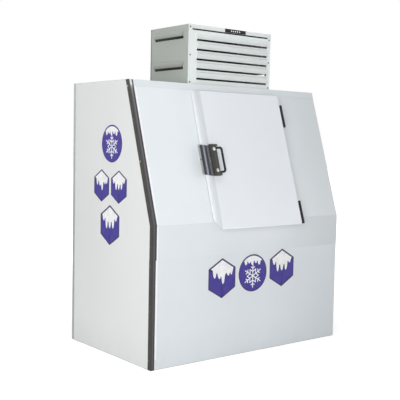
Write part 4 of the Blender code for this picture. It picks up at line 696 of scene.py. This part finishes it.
# Printed vinyl motifs: ice cubes and a snowflake, with snow on top, in four layers of film
FILM = 0.0002
PRINT_GROUND, PRINT_OUTLINE, PRINT_INK, PRINT_SNOW = 1 * FILM, 2 * FILM, 3 * FILM, 4 * FILM
GROUND_MARGIN, OUTLINE_MARGIN = 0.014, 0.003


def lay_film(layers, name, place):
    """Settle the layers of one motif on the cabinet."""
    for label, item, ink in layers:
        settle(item, name + "_" + label, "cabinet", ink, place)


def snow_edge(item, drips):
    """Pull rounded drips down from the lower edge of a flat snow shape."""
    for place, depth, width in drips:
        near = min(item.data.vertices,
                   key=lambda v: (abs(v.co.x - place) > width * 0.5, v.co.y + abs(v.co.x - place)))
        mark = near.index
        edit(item, "VERT", lambda v: v.index == mark)
        bpy.ops.transform.translate(value=(0, -depth, 0), use_proportional_edit=True,
                                    proportional_edit_falloff="SPHERE", proportional_size=width)
        done()


def scaled_drips(size, pattern):
    return [(size * place, size * depth, size * width) for place, depth, width in pattern]


def ice_cube(name, size, place, pattern):
    """A cube of ice seen corner-on: two violet faces, and a top face under dripping snow."""
    border = thicken(flat_disc(size + GROUND_MARGIN, 6, 0.010), 0, PRINT_GROUND)
    outline = thicken(flat_disc(size + OUTLINE_MARGIN, 6, 0.004), 0, PRINT_OUTLINE)
    faces = flat_disc(size, 6, fill="TRIFAN")

    def spare_spoke(edge):
        """A spoke of the hexagon that is none of the cube's three near edges."""
        heights = [v.co.y for v in edge.verts]
        upper = max(heights) > size * 0.9
        lower = min(heights) < -size * 0.1 and abs(edge.verts[0].co.x + edge.verts[1].co.x) > 0.1 * size
        return min(v.co.length for v in edge.verts) < 1e-6 and (upper or lower)

    edit(faces, "EDGE", spare_spoke)
    bpy.ops.mesh.dissolve_edges(use_verts=False)
    done()
    edit(faces)
    bpy.ops.mesh.inset(thickness=size * 0.030, use_individual=True)
    bpy.ops.mesh.select_all(action="INVERT")
    bpy.ops.mesh.delete(type="FACE")
    done()
    snow = copy_of(faces, "snow")
    edit(snow, "FACE", lambda f: f.calc_center_median().y < 0.2 * size)
    bpy.ops.mesh.delete(type="FACE")
    done()
    edit(snow)
    bpy.ops.mesh.inset(thickness=size * 0.035)
    bpy.ops.mesh.select_all(action="INVERT")
    bpy.ops.mesh.delete(type="FACE")
    bpy.ops.mesh.select_mode(type="EDGE")
    bpy.ops.mesh.select_all(action="SELECT")
    bpy.ops.mesh.subdivide(number_cuts=18)
    done()
    snow_edge(snow, scaled_drips(size, pattern))
    thicken(faces, 0, PRINT_INK)
    thicken(snow, 0, PRINT_SNOW)
    lay_film((("border", border, ink_ground), ("outline", outline, ink_deep),
              ("faces", faces, ink_violet), ("snow", snow, ink_white)), name, place)


def snow_star(size):
    """A six-armed snowflake, its arms and twigs fused into one flat piece."""
    half_width, top = 0.042 * size, PRINT_SNOW + 0.0001
    twigs = [(0.36 * size, 0.40 * size, 60.0), (0.36 * size, 0.40 * size, -60.0),
             (0.64 * size, 0.24 * size, 60.0), (0.64 * size, 0.24 * size, -60.0)]
    arms = []
    for turn in range(6):
        pieces = []
        for start, length, lean in [(0.0, size, 0.0)] + twigs:
            bar = add_box((-half_width, 0, 0), (half_width, length, top))
            bar.data.transform(Matrix.Rotation(math.radians(lean), 4, "Z"))
            bar.data.transform(Matrix.Translation((0, start, 0)))
            pieces.append(bar)
        arm = merge_solids(pieces)
        arm.data.transform(Matrix.Rotation(math.radians(60 * turn), 4, "Z"))
        arms.append(arm)
    return merge_solids(arms)


def snow_roundel(name, size, place, pattern):
    """A violet disc with a white snowflake, and snow lying on its upper edge."""
    border = thicken(flat_disc(size + GROUND_MARGIN), 0, PRINT_GROUND)
    outline = thicken(flat_disc(size + OUTLINE_MARGIN), 0, PRINT_OUTLINE)
    disc = thicken(flat_disc(size), 0, PRINT_INK)
    snow = flat_disc(size * 0.94, 96)
    edit(snow)
    bpy.ops.mesh.bisect(plane_co=(0, size * 0.66, 0), plane_no=(0, -1, 0), clear_outer=True,
                        clear_inner=False)
    done()
    edit(snow, "EDGE", lambda e: max(v.co.y for v in e.verts) < size * 0.67)
    bpy.ops.mesh.subdivide(number_cuts=60)
    done()
    snow_edge(snow, scaled_drips(size, pattern))
    thicken(snow, 0, PRINT_SNOW)
    star = snow_star(size * 0.66)
    edit(star)
    bpy.ops.transform.translate(value=(0, -size * 0.16, 0))
    done()
    lay_film((("border", border, ink_ground), ("outline", outline, ink_deep),
              ("disc", disc, ink_violet), ("snow", snow, ink_white), ("star", star, ink_white)),
             name, place)


def on_front(x, z):
    return Matrix.Translation((x, LOWER_FRONT_Y, z)) @ Matrix.Rotation(math.pi / 2, 4, "X")


def on_left(y, z):
    return (Matrix.Translation((LEFT, y, z)) @ Matrix.Rotation(-math.pi / 2, 4, "Z")
            @ Matrix.Rotation(math.pi / 2, 4, "X"))


# Each drip's place, depth and width, as shares of the motif's size
first_drips = [(-0.52, 0.34, 0.13), (-0.20, 0.20, 0.12), (0.10, 0.42, 0.12), (0.42, 0.22, 0.11),
               (0.62, 0.30, 0.10)]
second_drips = [(-0.60, 0.22, 0.11), (-0.34, 0.44, 0.12), (0.02, 0.24, 0.13), (0.32, 0.40, 0.12),
                (0.58, 0.18, 0.10)]
round_drips = [(-0.52, 0.20, 0.10), (-0.28, 0.12, 0.09), (-0.06, 0.22, 0.10), (0.20, 0.14, 0.09),
               (0.46, 0.24, 0.10)]
BIG_CUBE, SMALL_CUBE = 0.128, 0.104
ice_cube("front_left_cube", BIG_CUBE, on_front(-0.262, 0.522), first_drips)
snow_roundel("front_flake", 0.122, on_front(0.005, 0.534), round_drips)
ice_cube("front_right_cube", BIG_CUBE, on_front(0.272, 0.548), second_drips)
snow_roundel("side_flake", 0.118, on_left(-0.010, 1.375), round_drips)
ice_cube("side_front_cube", SMALL_CUBE, on_left(-0.098, 1.100), second_drips)
ice_cube("side_rear_cube", SMALL_CUBE, on_left(0.110, 1.100), first_drips)
ice_cube("side_lower_cube", BIG_CUBE, on_left(0.004, 0.848), second_drips)


# Pan-head screws of the housing, the keeper, the latch and the hinges
UNIT_SCREW, KEEPER_SCREW, MIDDLE_SCREW, LATCH_SCREW, HINGE_SCREW = 0.0052, 0.0040, 0.0048, 0.0078, 0.0050
UNIT_LOW, UNIT_INSET = HOUSE_TOP - 0.394, 0.016
unit_screw_columns = (HOUSE_LEFT + UNIT_INSET, HOUSE_RIGHT - UNIT_INSET)
place_screws("housing_front_screws",
             [(x, HOUSE_FRONT, UNIT_LOW + z) for x, top in zip(unit_screw_columns, (0.377, 0.352))
              for z in (0.015, 0.193, top)], OUT_FRONT, UNIT_SCREW, "cabinet", screw_dark)
place_screws("housing_rear_screws",
             [(x, HOUSE_REAR, UNIT_LOW + z) for x in unit_screw_columns for z in (0.015, 0.193, 0.377)],
             OUT_REAR, UNIT_SCREW, "cabinet", screw_dark)

KEEPER_FOOT_X, KEEPER_FOOT_Y = -0.3582, -0.0033
place_screws("keeper_screws", [(KEEPER_FOOT_X, KEEPER_FOOT_Y, z) for z in (0.334, 0.497)], OUT_FRONT,
             KEEPER_SCREW, "cabinet", bright_metal, matrix=SLANT)
place_screws("keeper_middle_screw", [(KEEPER_FOOT_X, KEEPER_FOOT_Y, 0.4155)], OUT_FRONT,
             MIDDLE_SCREW, "cabinet", screw_dark, matrix=SLANT)

WASHER_RADIUS, WASHER = 0.0115, 0.0014
LATCH_BOLTS = [(-0.3090, -CASE_FACE, z) for z in (0.3190, 0.4600)]
washers = [soften(add_round(32, WASHER_RADIUS, WASHER, (x, y - WASHER / 2, z), (math.pi / 2, 0, 0)),
                  0.0004) for x, y, z in LATCH_BOLTS]
settle(join(washers), "latch_washers", "door", bright_metal, SLANT)
place_screws("latch_screws", [(x, y - WASHER, z) for x, y, z in LATCH_BOLTS], OUT_FRONT, LATCH_SCREW,
             "door", bright_metal, matrix=SLANT)

LEAF_X, LEAF_Y, LEAF_CUT = 0.4190, -0.0028, 0.012
for label, low in (("upper", 0.6349), ("lower", -0.055)):
    heights = [z for z in (low + 0.022, low + 0.079, low + 0.136) if z > LEAF_CUT]
    place_screws(label + "_hinge_screws", [(LEAF_X, LEAF_Y, z) for z in heights], OUT_FRONT,
                 HINGE_SCREW, "cabinet", hinge_metal, SLANT)
bpy.data.objects.remove(screw_pattern, do_unlink=True)


# Flat-head screws let into the corner angles and the rear sheet
def front_at(z):
    """Where the cabinet's front face is at one height."""
    return FRONT_Y + max(0.0, z - KINK) * math.tan(LEAN)


def flat_head(radius, place, out, turn):
    """A flat screw head with a raised rim and a round recess, just under the sheet's face."""
    head = add_round(20, radius * 0.94, 0.0008, place - out * 0.0006, turn)
    edit(head, "FACE", lambda f: f.normal.dot(out) > 0.9)
    bpy.ops.mesh.inset(thickness=radius * 0.10, depth=0.00008)
    bpy.ops.mesh.inset(thickness=radius * 0.38, depth=0)
    bpy.ops.mesh.inset(thickness=radius * 0.08, depth=-0.0003)
    done()
    return head


def sink_screws(name, places, out, radius, finish, front_finish=None):
    """The same sheet with countersunk holes, and in each a flat-head screw, bright or dark."""
    drilled = copy_of(nodes[name], name + "_drilled")
    edit(drilled)
    bpy.ops.mesh.remove_doubles(threshold=0.00002)
    bpy.ops.mesh.dissolve_limited(angle_limit=math.radians(0.5))
    bpy.ops.mesh.normals_make_consistent(inside=False)
    done()
    out = Vector(out)
    turn = Vector((0, 0, 1)).rotation_difference(out).to_euler()
    heads = {"bright": [], "dark": []}
    for *place, tone in places:
        place = Vector(place)
        clear_choice()
        bpy.ops.mesh.primitive_cone_add(vertices=20, radius1=radius * 0.80, radius2=radius * 1.06,
                                        depth=0.0014, location=place - out * 0.0002, rotation=turn)
        tool = bpy.context.object
        clear_choice()
        apply_modifier(drilled, "BOOLEAN", operation="DIFFERENCE", object=tool)
        bpy.data.objects.remove(tool, do_unlink=True)
        heads[tone].append(flat_head(radius, place, out, turn))
    settle(drilled, name + "_drilled", "cabinet", finish, angle=4.0)
    if front_finish is not None:
        drilled.data.materials.append(front_finish)
        for face in drilled.data.polygons:
            face.material_index = 1 if face.normal.y < -0.5 else 0
    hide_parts(name)
    for tone, metal_finish in (("bright", bright_metal), ("dark", screw_dark)):
        if heads[tone]:
            settle(join(heads[tone]), name + "_screws_" + tone, "cabinet", metal_finish)


TRIM_SCREW, TRIM_INSET, REAR_SCREW = 0.0052, 0.024, 0.0060
TRIM_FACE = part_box("upper_corner_trim")[0][0]
upper_row = ((0.760, "dark"), (1.015, "dark"), (1.271, "bright"), (1.527, "dark"), (1.735, "bright"))
sink_screws("upper_corner_trim", [(TRIM_FACE, front_at(z) + TRIM_INSET, z, tone) for z, tone in upper_row],
            OUT_LEFT, TRIM_SCREW, trim_metal, trim_front_metal)
sink_screws("lower_corner_trim",
            [(TRIM_FACE, FRONT_Y + TRIM_INSET, z, "dark") for z in (0.060, 0.365, 0.640)],
            OUT_LEFT, TRIM_SCREW, trim_metal, trim_front_metal)
REAR_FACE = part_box("rear_panel")[1][1]
side_rows = [(x, z) for x in (-0.800, 0.800) for z in (0.10, 0.42, 0.74, 1.06, 1.38, 1.70)]
top_row = [(x, 1.764) for x in (-0.55, -0.18, 0.18, 0.55)]
sink_screws("rear_panel", [(x, REAR_FACE, z, "bright") for x, z in side_rows + top_row],
            OUT_REAR, REAR_SCREW, zinc_sheet)


# Latch's pull: one round bar with two bends, and the pivot it turns on
PULL_BAR, PULL_BEND, PULL_HEIGHT = 0.0072, 0.014, 0.161
PULL_RIGHT, PULL_OUT = 0.035, 0.016
PULL_REACH = math.hypot(PULL_RIGHT, PULL_OUT) - 0.0009
PULL_FOOT = Vector((-0.283, -0.0783, 0.309))
PIVOT_RADIUS, PIVOT_LENGTH = 0.0050, 0.193


def make_pull():
    """The bar is drawn in the X-Z plane, out from the foot, up and back in, and then turned."""
    quarter, straight = math.pi / 2, PULL_REACH - PULL_BEND
    upper_bend = PULL_HEIGHT - PULL_BEND
    clear_choice()
    bpy.ops.mesh.primitive_circle_add(vertices=24, radius=PULL_BAR, fill_type="NGON",
                                      location=(0, 0, 0), rotation=(0, quarter, 0))
    bar = bpy.context.object
    bpy.ops.object.transform_apply(location=True, rotation=True, scale=True)

    def extrude(x, z):
        bpy.ops.mesh.extrude_region_move(TRANSFORM_OT_translate={"value": (x, 0, z)})

    edit(bar)
    extrude(straight, 0)
    bpy.ops.mesh.spin(steps=8, angle=quarter, center=(straight, 0, PULL_BEND), axis=(0, 1, 0))
    extrude(0, PULL_HEIGHT - 2 * PULL_BEND)
    bpy.ops.mesh.spin(steps=8, angle=quarter, center=(straight, 0, upper_bend), axis=(0, 1, 0))
    extrude(-straight, 0)
    bpy.ops.mesh.select_all(action="SELECT")
    bpy.ops.mesh.remove_doubles(threshold=0.00001)
    bpy.ops.mesh.normals_make_consistent(inside=False)
    done()
    turn = Matrix.Rotation(math.atan2(-PULL_OUT, PULL_RIGHT), 4, "Z")
    bar.data.transform(Matrix.Translation(PULL_FOOT) @ turn)
    pivot = add_round(24, PIVOT_RADIUS, PIVOT_LENGTH, PULL_FOOT + Vector((0, 0, PULL_HEIGHT / 2)))
    edit(pivot, "FACE", lambda f: abs(f.normal.z) > 0.9)
    bpy.ops.mesh.inset(thickness=0.0012, depth=0.0)
    done()
    return merge_solids([bar, pivot])


pull = settle(make_pull(), "latch_pull", "handle", pull_metal, SLANT, 35)
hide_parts("latch_handle")


# Keeper with its two ends cut level instead of square to the door
KEEPER_SLOPE = 0.38
keeper = copy_of(nodes["strike_plate"], "level_keeper")
edit(keeper)
bpy.ops.mesh.remove_doubles(threshold=0.00001)
done()
keeper.data.transform(SLANT.inverted())
for vertex in keeper.data.vertices:
    vertex.co.z += KEEPER_SLOPE * vertex.co.y
keeper.data.transform(SLANT)
settle(keeper, "level_keeper", "cabinet", keeper_metal)
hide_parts("strike_plate")


# Sealant round the housing's foot, and the dark edge strips at its rear corners, whose dark grey is painted
# shade on the rear sheet's lapped flange
BEAD = 0.005


def make_foot_bead():
    ring = add_box((HOUSE_LEFT - BEAD, HOUSE_FRONT - BEAD, ROOF + 0.0002),
                   (HOUSE_RIGHT + BEAD, HOUSE_REAR + BEAD, ROOF + 0.0042))
    edit(ring, "FACE", lambda f: f.normal.z > 0.9)
    bpy.ops.mesh.inset(thickness=BEAD - 0.0001, depth=0)
    bpy.ops.mesh.delete(type="FACE")
    done()
    edit(ring, "FACE", lambda f: f.normal.z < -0.9)
    bpy.ops.mesh.delete(type="FACE")
    done()
    edit(ring, "EDGE", lambda e: min(v.co.z for v in e.verts) > ROOF + 0.003 and len(e.link_faces) == 2)
    bpy.ops.mesh.bevel(offset=0.0028, segments=3)
    done()
    return ring


settle(make_foot_bead(), "housing_foot_bead", "cabinet", cream_bead)
EDGING = 0.0006
for label, face in (("left", HOUSE_LEFT), ("right", HOUSE_RIGHT)):
    edging = add_box((face - EDGING, HOUSE_REAR - 0.0125, ROOF + 0.002),
                     (face + EDGING, HOUSE_REAR - 0.0004, HOUSE_TOP - 0.002))
    settle(soften(edging, 0.0003), label + "_housing_edging", "cabinet", lap_shade_paint)


# Dark strip in the air slot under the lid: painted shade, standing in for the shadow inside the slot
SLOT_TOP = HOUSE_TOP - 0.026
slot_shade_strip = add_box((HOUSE_LEFT + 0.033, HOUSE_FRONT - 0.0006, SLOT_TOP - 0.0095),
                        (HOUSE_RIGHT - 0.031, HOUSE_FRONT + 0.0050, SLOT_TOP - 0.0004))
settle(soften(slot_shade_strip, 0.0004), "lid_slot_shade_strip", "cabinet", pull_metal)


# White vinyl lines beside the corner angles
LINE, LINE_FACE, LINE_BACK = 0.0150, -0.0009, -0.0001
for name, left, sheet, low, high, plane in (
        ("upper_white_line", -0.7846, 0.0, 0.004, 0.9295, SLANT),
        ("lower_white_line", -0.7886, FRONT_Y, 0.066, KINK - 0.004, None)):
    line = add_box((left, sheet + LINE_FACE, low), (left + LINE, sheet + LINE_BACK, high))
    settle(soften(line, 0.0003), name, "cabinet", edge_vinyl, plane)


# Small plate on the lid's front edge, with five plain diamonds
plate_edge = soften(add_box((-0.012, -0.1600, 2.1466), (0.176, -0.1579, 2.1714)), 0.0035, 5, 60)
settle(plate_edge, "lid_plate", "cabinet", plate_metal)
plate_face = soften(add_box((-0.0105, -0.1604, 2.1480), (0.1745, -0.1590, 2.1700)), 0.0022, 4, 60)
settle(plate_face, "lid_plate_face", "cabinet", hinge_metal)
DIAMOND, DIAMOND_PITCH, PLATE_MIDDLE = 0.0062, 0.018, Vector((0.082, -0.1606, 2.1590))
diamonds = [soften(add_round(4, DIAMOND, 0.0010, PLATE_MIDDLE + Vector((DIAMOND_PITCH * step, 0, 0)),
                             (math.pi / 2, 0, 0)), 0.0002) for step in (-2, -1, 0, 1, 2)]
settle(join(diamonds), "lid_plate_diamonds", "cabinet", ink_white)


# Strips round the door's edge, and the lip under its face: the white strip and lip as painted light, the grey
# band as painted shade
STRIP_OUT, STRIP_WALL = 0.0001, 0.0009
FOOT_GROWTH, HEAD_GROWTH = 0.064, 0.024


def door_ends(depth):
    """The door's lower and upper end at one depth: the pan widens towards the cabinet."""
    share = 1 - depth / DOOR_DEPTH
    return DOOR_LOW + FOOT_GROWTH * share, DOOR_HIGH + HEAD_GROWTH * share


def make_door_strip(near, far):
    """A thin band that follows the door's sides between two depths, measured out from the cabinet."""
    band = add_box((DOOR_LEFT - STRIP_OUT, -far, 0), (DOOR_RIGHT + STRIP_OUT, -near, 1))
    for depth, front in ((far, True), (near, False)):
        low, high = door_ends(depth)
        edit(band, "VERT", lambda v: (v.co.y < -(near + far) / 2) == front and v.co.z < 0.5)
        bpy.ops.transform.translate(value=(0, 0, low - STRIP_OUT))
        done()
        edit(band, "VERT", lambda v: (v.co.y < -(near + far) / 2) == front and v.co.z > 0.5)
        bpy.ops.transform.translate(value=(0, 0, high - 1 + STRIP_OUT))
        done()
    edit(band, "EDGE", lambda e: abs(e.verts[0].co.y - e.verts[1].co.y) > (far - near) / 2)
    bpy.ops.mesh.bevel(offset=DOOR_CORNER + STRIP_OUT, segments=6)
    done()
    edit(band, "FACE", lambda f: abs(f.normal.y) > 0.95)
    bpy.ops.mesh.delete(type="FACE")
    done()
    pick(band)
    apply_modifier(band, "SOLIDIFY", thickness=STRIP_WALL, offset=1.0)
    return band


# The white strip near the cabinet is painted light: it brightens the foot of the door's side and hides the
# shadow of the gap.
settle(make_door_strip(0.0054, 0.0175), "door_foot_light_strip", "door", edge_vinyl, SLANT)
settle(make_door_strip(SHADE_BAND_NEAR, SHADE_BAND_FAR), "door_shade_band", "door", shade_band_vinyl, SLANT)
# The white lip under the face is a painted highlight, where the face's lower rim catches the light.
rim_highlight_lip = add_box((DOOR_LEFT + 0.010, -DOOR_DEPTH - 0.0012, DOOR_LOW + 0.0005),
                   (DOOR_RIGHT - 0.010, -DOOR_DEPTH - 0.0001, DOOR_LOW + 0.0075))
settle(soften(rim_highlight_lip, 0.0006), "door_rim_highlight_lip", "door", edge_vinyl, SLANT)


# Stage, light and camera
def make_floor():
    """A pale floor that keeps the object's shadow and shows white to the camera further away."""
    clear_choice()
    bpy.ops.mesh.primitive_plane_add(size=60, location=(0, 0, 0))
    floor = bpy.context.object
    floor.name = "floor"
    material, tree, shader = new_material("pale floor")
    colour_with(tree, shader, ramp(tree, grain_of(tree, 3, 3, 0.5), [(0.3, 0.86), (0.7, 0.88)]))
    shader.inputs["Roughness"].default_value = 0.9
    away = node(tree, "ShaderNodeVectorMath", operation="LENGTH")
    tree.links.new(own_metres(tree), away.inputs[0])
    fade = span(tree, away.outputs["Value"], 0.9, 4.0, 0.50, 1.0)
    seen = tree.nodes.new("ShaderNodeLightPath").outputs["Is Camera Ray"]
    glow = tree.nodes.new("ShaderNodeEmission")
    tree.links.new(calc(tree, "MULTIPLY", seen, fade), glow.inputs["Strength"])
    both = tree.nodes.new("ShaderNodeAddShader")
    tree.links.new(shader.outputs["BSDF"], both.inputs[0])
    tree.links.new(glow.outputs["Emission"], both.inputs[1])
    tree.links.new(both.outputs["Shader"], tree.nodes["Material Output"].inputs["Surface"])
    floor.data.materials.append(material)


def make_sky():
    """A dim, even studio light, which the camera, metal and glass see as white."""
    world = bpy.data.worlds.new("studio")
    bpy.context.scene.world = world
    world.use_nodes = True
    tree = world.node_tree
    dim, white = tree.nodes["Background"], tree.nodes.new("ShaderNodeBackground")
    for back, colour, strength in ((dim, (0.93, 0.96, 1.0, 1.0), 0.15), (white, (1.0, 1.0, 1.0, 1.0), 1.0)):
        back.inputs["Color"].default_value = colour
        back.inputs["Strength"].default_value = strength
    rays = tree.nodes.new("ShaderNodeLightPath").outputs
    seen = calc(tree, "MAXIMUM", rays["Is Camera Ray"], rays["Is Glossy Ray"])
    seen = calc(tree, "MAXIMUM", seen, rays["Is Transmission Ray"])
    blend = tree.nodes.new("ShaderNodeMixShader")
    tree.links.new(seen, blend.inputs["Fac"])
    tree.links.new(dim.outputs["Background"], blend.inputs[1])
    tree.links.new(white.outputs["Background"], blend.inputs[2])
    tree.links.new(blend.outputs["Shader"], tree.nodes["World Output"].inputs["Surface"])


def add_lamp(name, place, aim, size, power):
    """A square lamp of one size in metres and one power in watts, turned to what it lights."""
    lamp = bpy.data.lights.new(name, "AREA")
    lamp.shape = "SQUARE"
    lamp.size = size
    lamp.energy = power
    item = bpy.data.objects.new(name, lamp)
    item.location = place
    item.rotation_euler = (Vector(aim) - Vector(place)).to_track_quat("-Z", "Y").to_euler()
    bpy.context.scene.collection.objects.link(item)


CAMERA_PLACE, CAMERA_LENS, CAMERA_SENSOR = (-3.561, -4.3865, 1.401), 71.9, 36.0
CAMERA_YAW, CAMERA_PITCH, CAMERA_ROLL = math.radians(38.48), math.radians(-4.2), math.radians(1.15)


def make_camera():
    """A camera at the photograph's viewing angle, leaning a little to one side as it did."""
    right = Vector((math.cos(CAMERA_YAW), -math.sin(CAMERA_YAW), 0))
    ahead = Vector((math.sin(CAMERA_YAW) * math.cos(CAMERA_PITCH),
                    math.cos(CAMERA_YAW) * math.cos(CAMERA_PITCH), math.sin(CAMERA_PITCH)))
    up = right.cross(ahead)
    level, tilt = math.cos(CAMERA_ROLL), math.sin(CAMERA_ROLL)
    rows = (level * right + tilt * up, -tilt * right + level * up, -ahead)
    data = bpy.data.cameras.new("camera")
    data.sensor_width = CAMERA_SENSOR
    data.sensor_height = CAMERA_SENSOR
    data.sensor_fit = "HORIZONTAL"
    data.lens = CAMERA_LENS
    camera = bpy.data.objects.new("camera", data)
    camera.matrix_world = Matrix.Translation(CAMERA_PLACE) @ Matrix(rows).transposed().to_4x4()
    bpy.context.scene.collection.objects.link(camera)
    bpy.context.scene.camera = camera


make_floor()
make_sky()
add_lamp("key", (-3.4, -3.3, 1.5), (0, -0.2, 1.0), 2.4, 101)
add_lamp("front", (-0.8, -5.4, 0.9), (0, 0, 1.0), 3.0, 28)
add_lamp("right", (3.6, -3.6, 1.3), (0, 0, 1.0), 3.0, 40)
add_lamp("side", (-5.0, 1.0, 1.4), (0, 0, 1.0), 3.0, 60)
add_lamp("top", (-0.3, -0.6, 5.0), (0, 0, 1.0), 3.0, 67)
add_lamp("rear", (1.5, 5.0, 3.2), (0, 0, 1.2), 3.0, 60)
make_camera()
bpy.context.scene.view_settings.view_transform = "Standard"
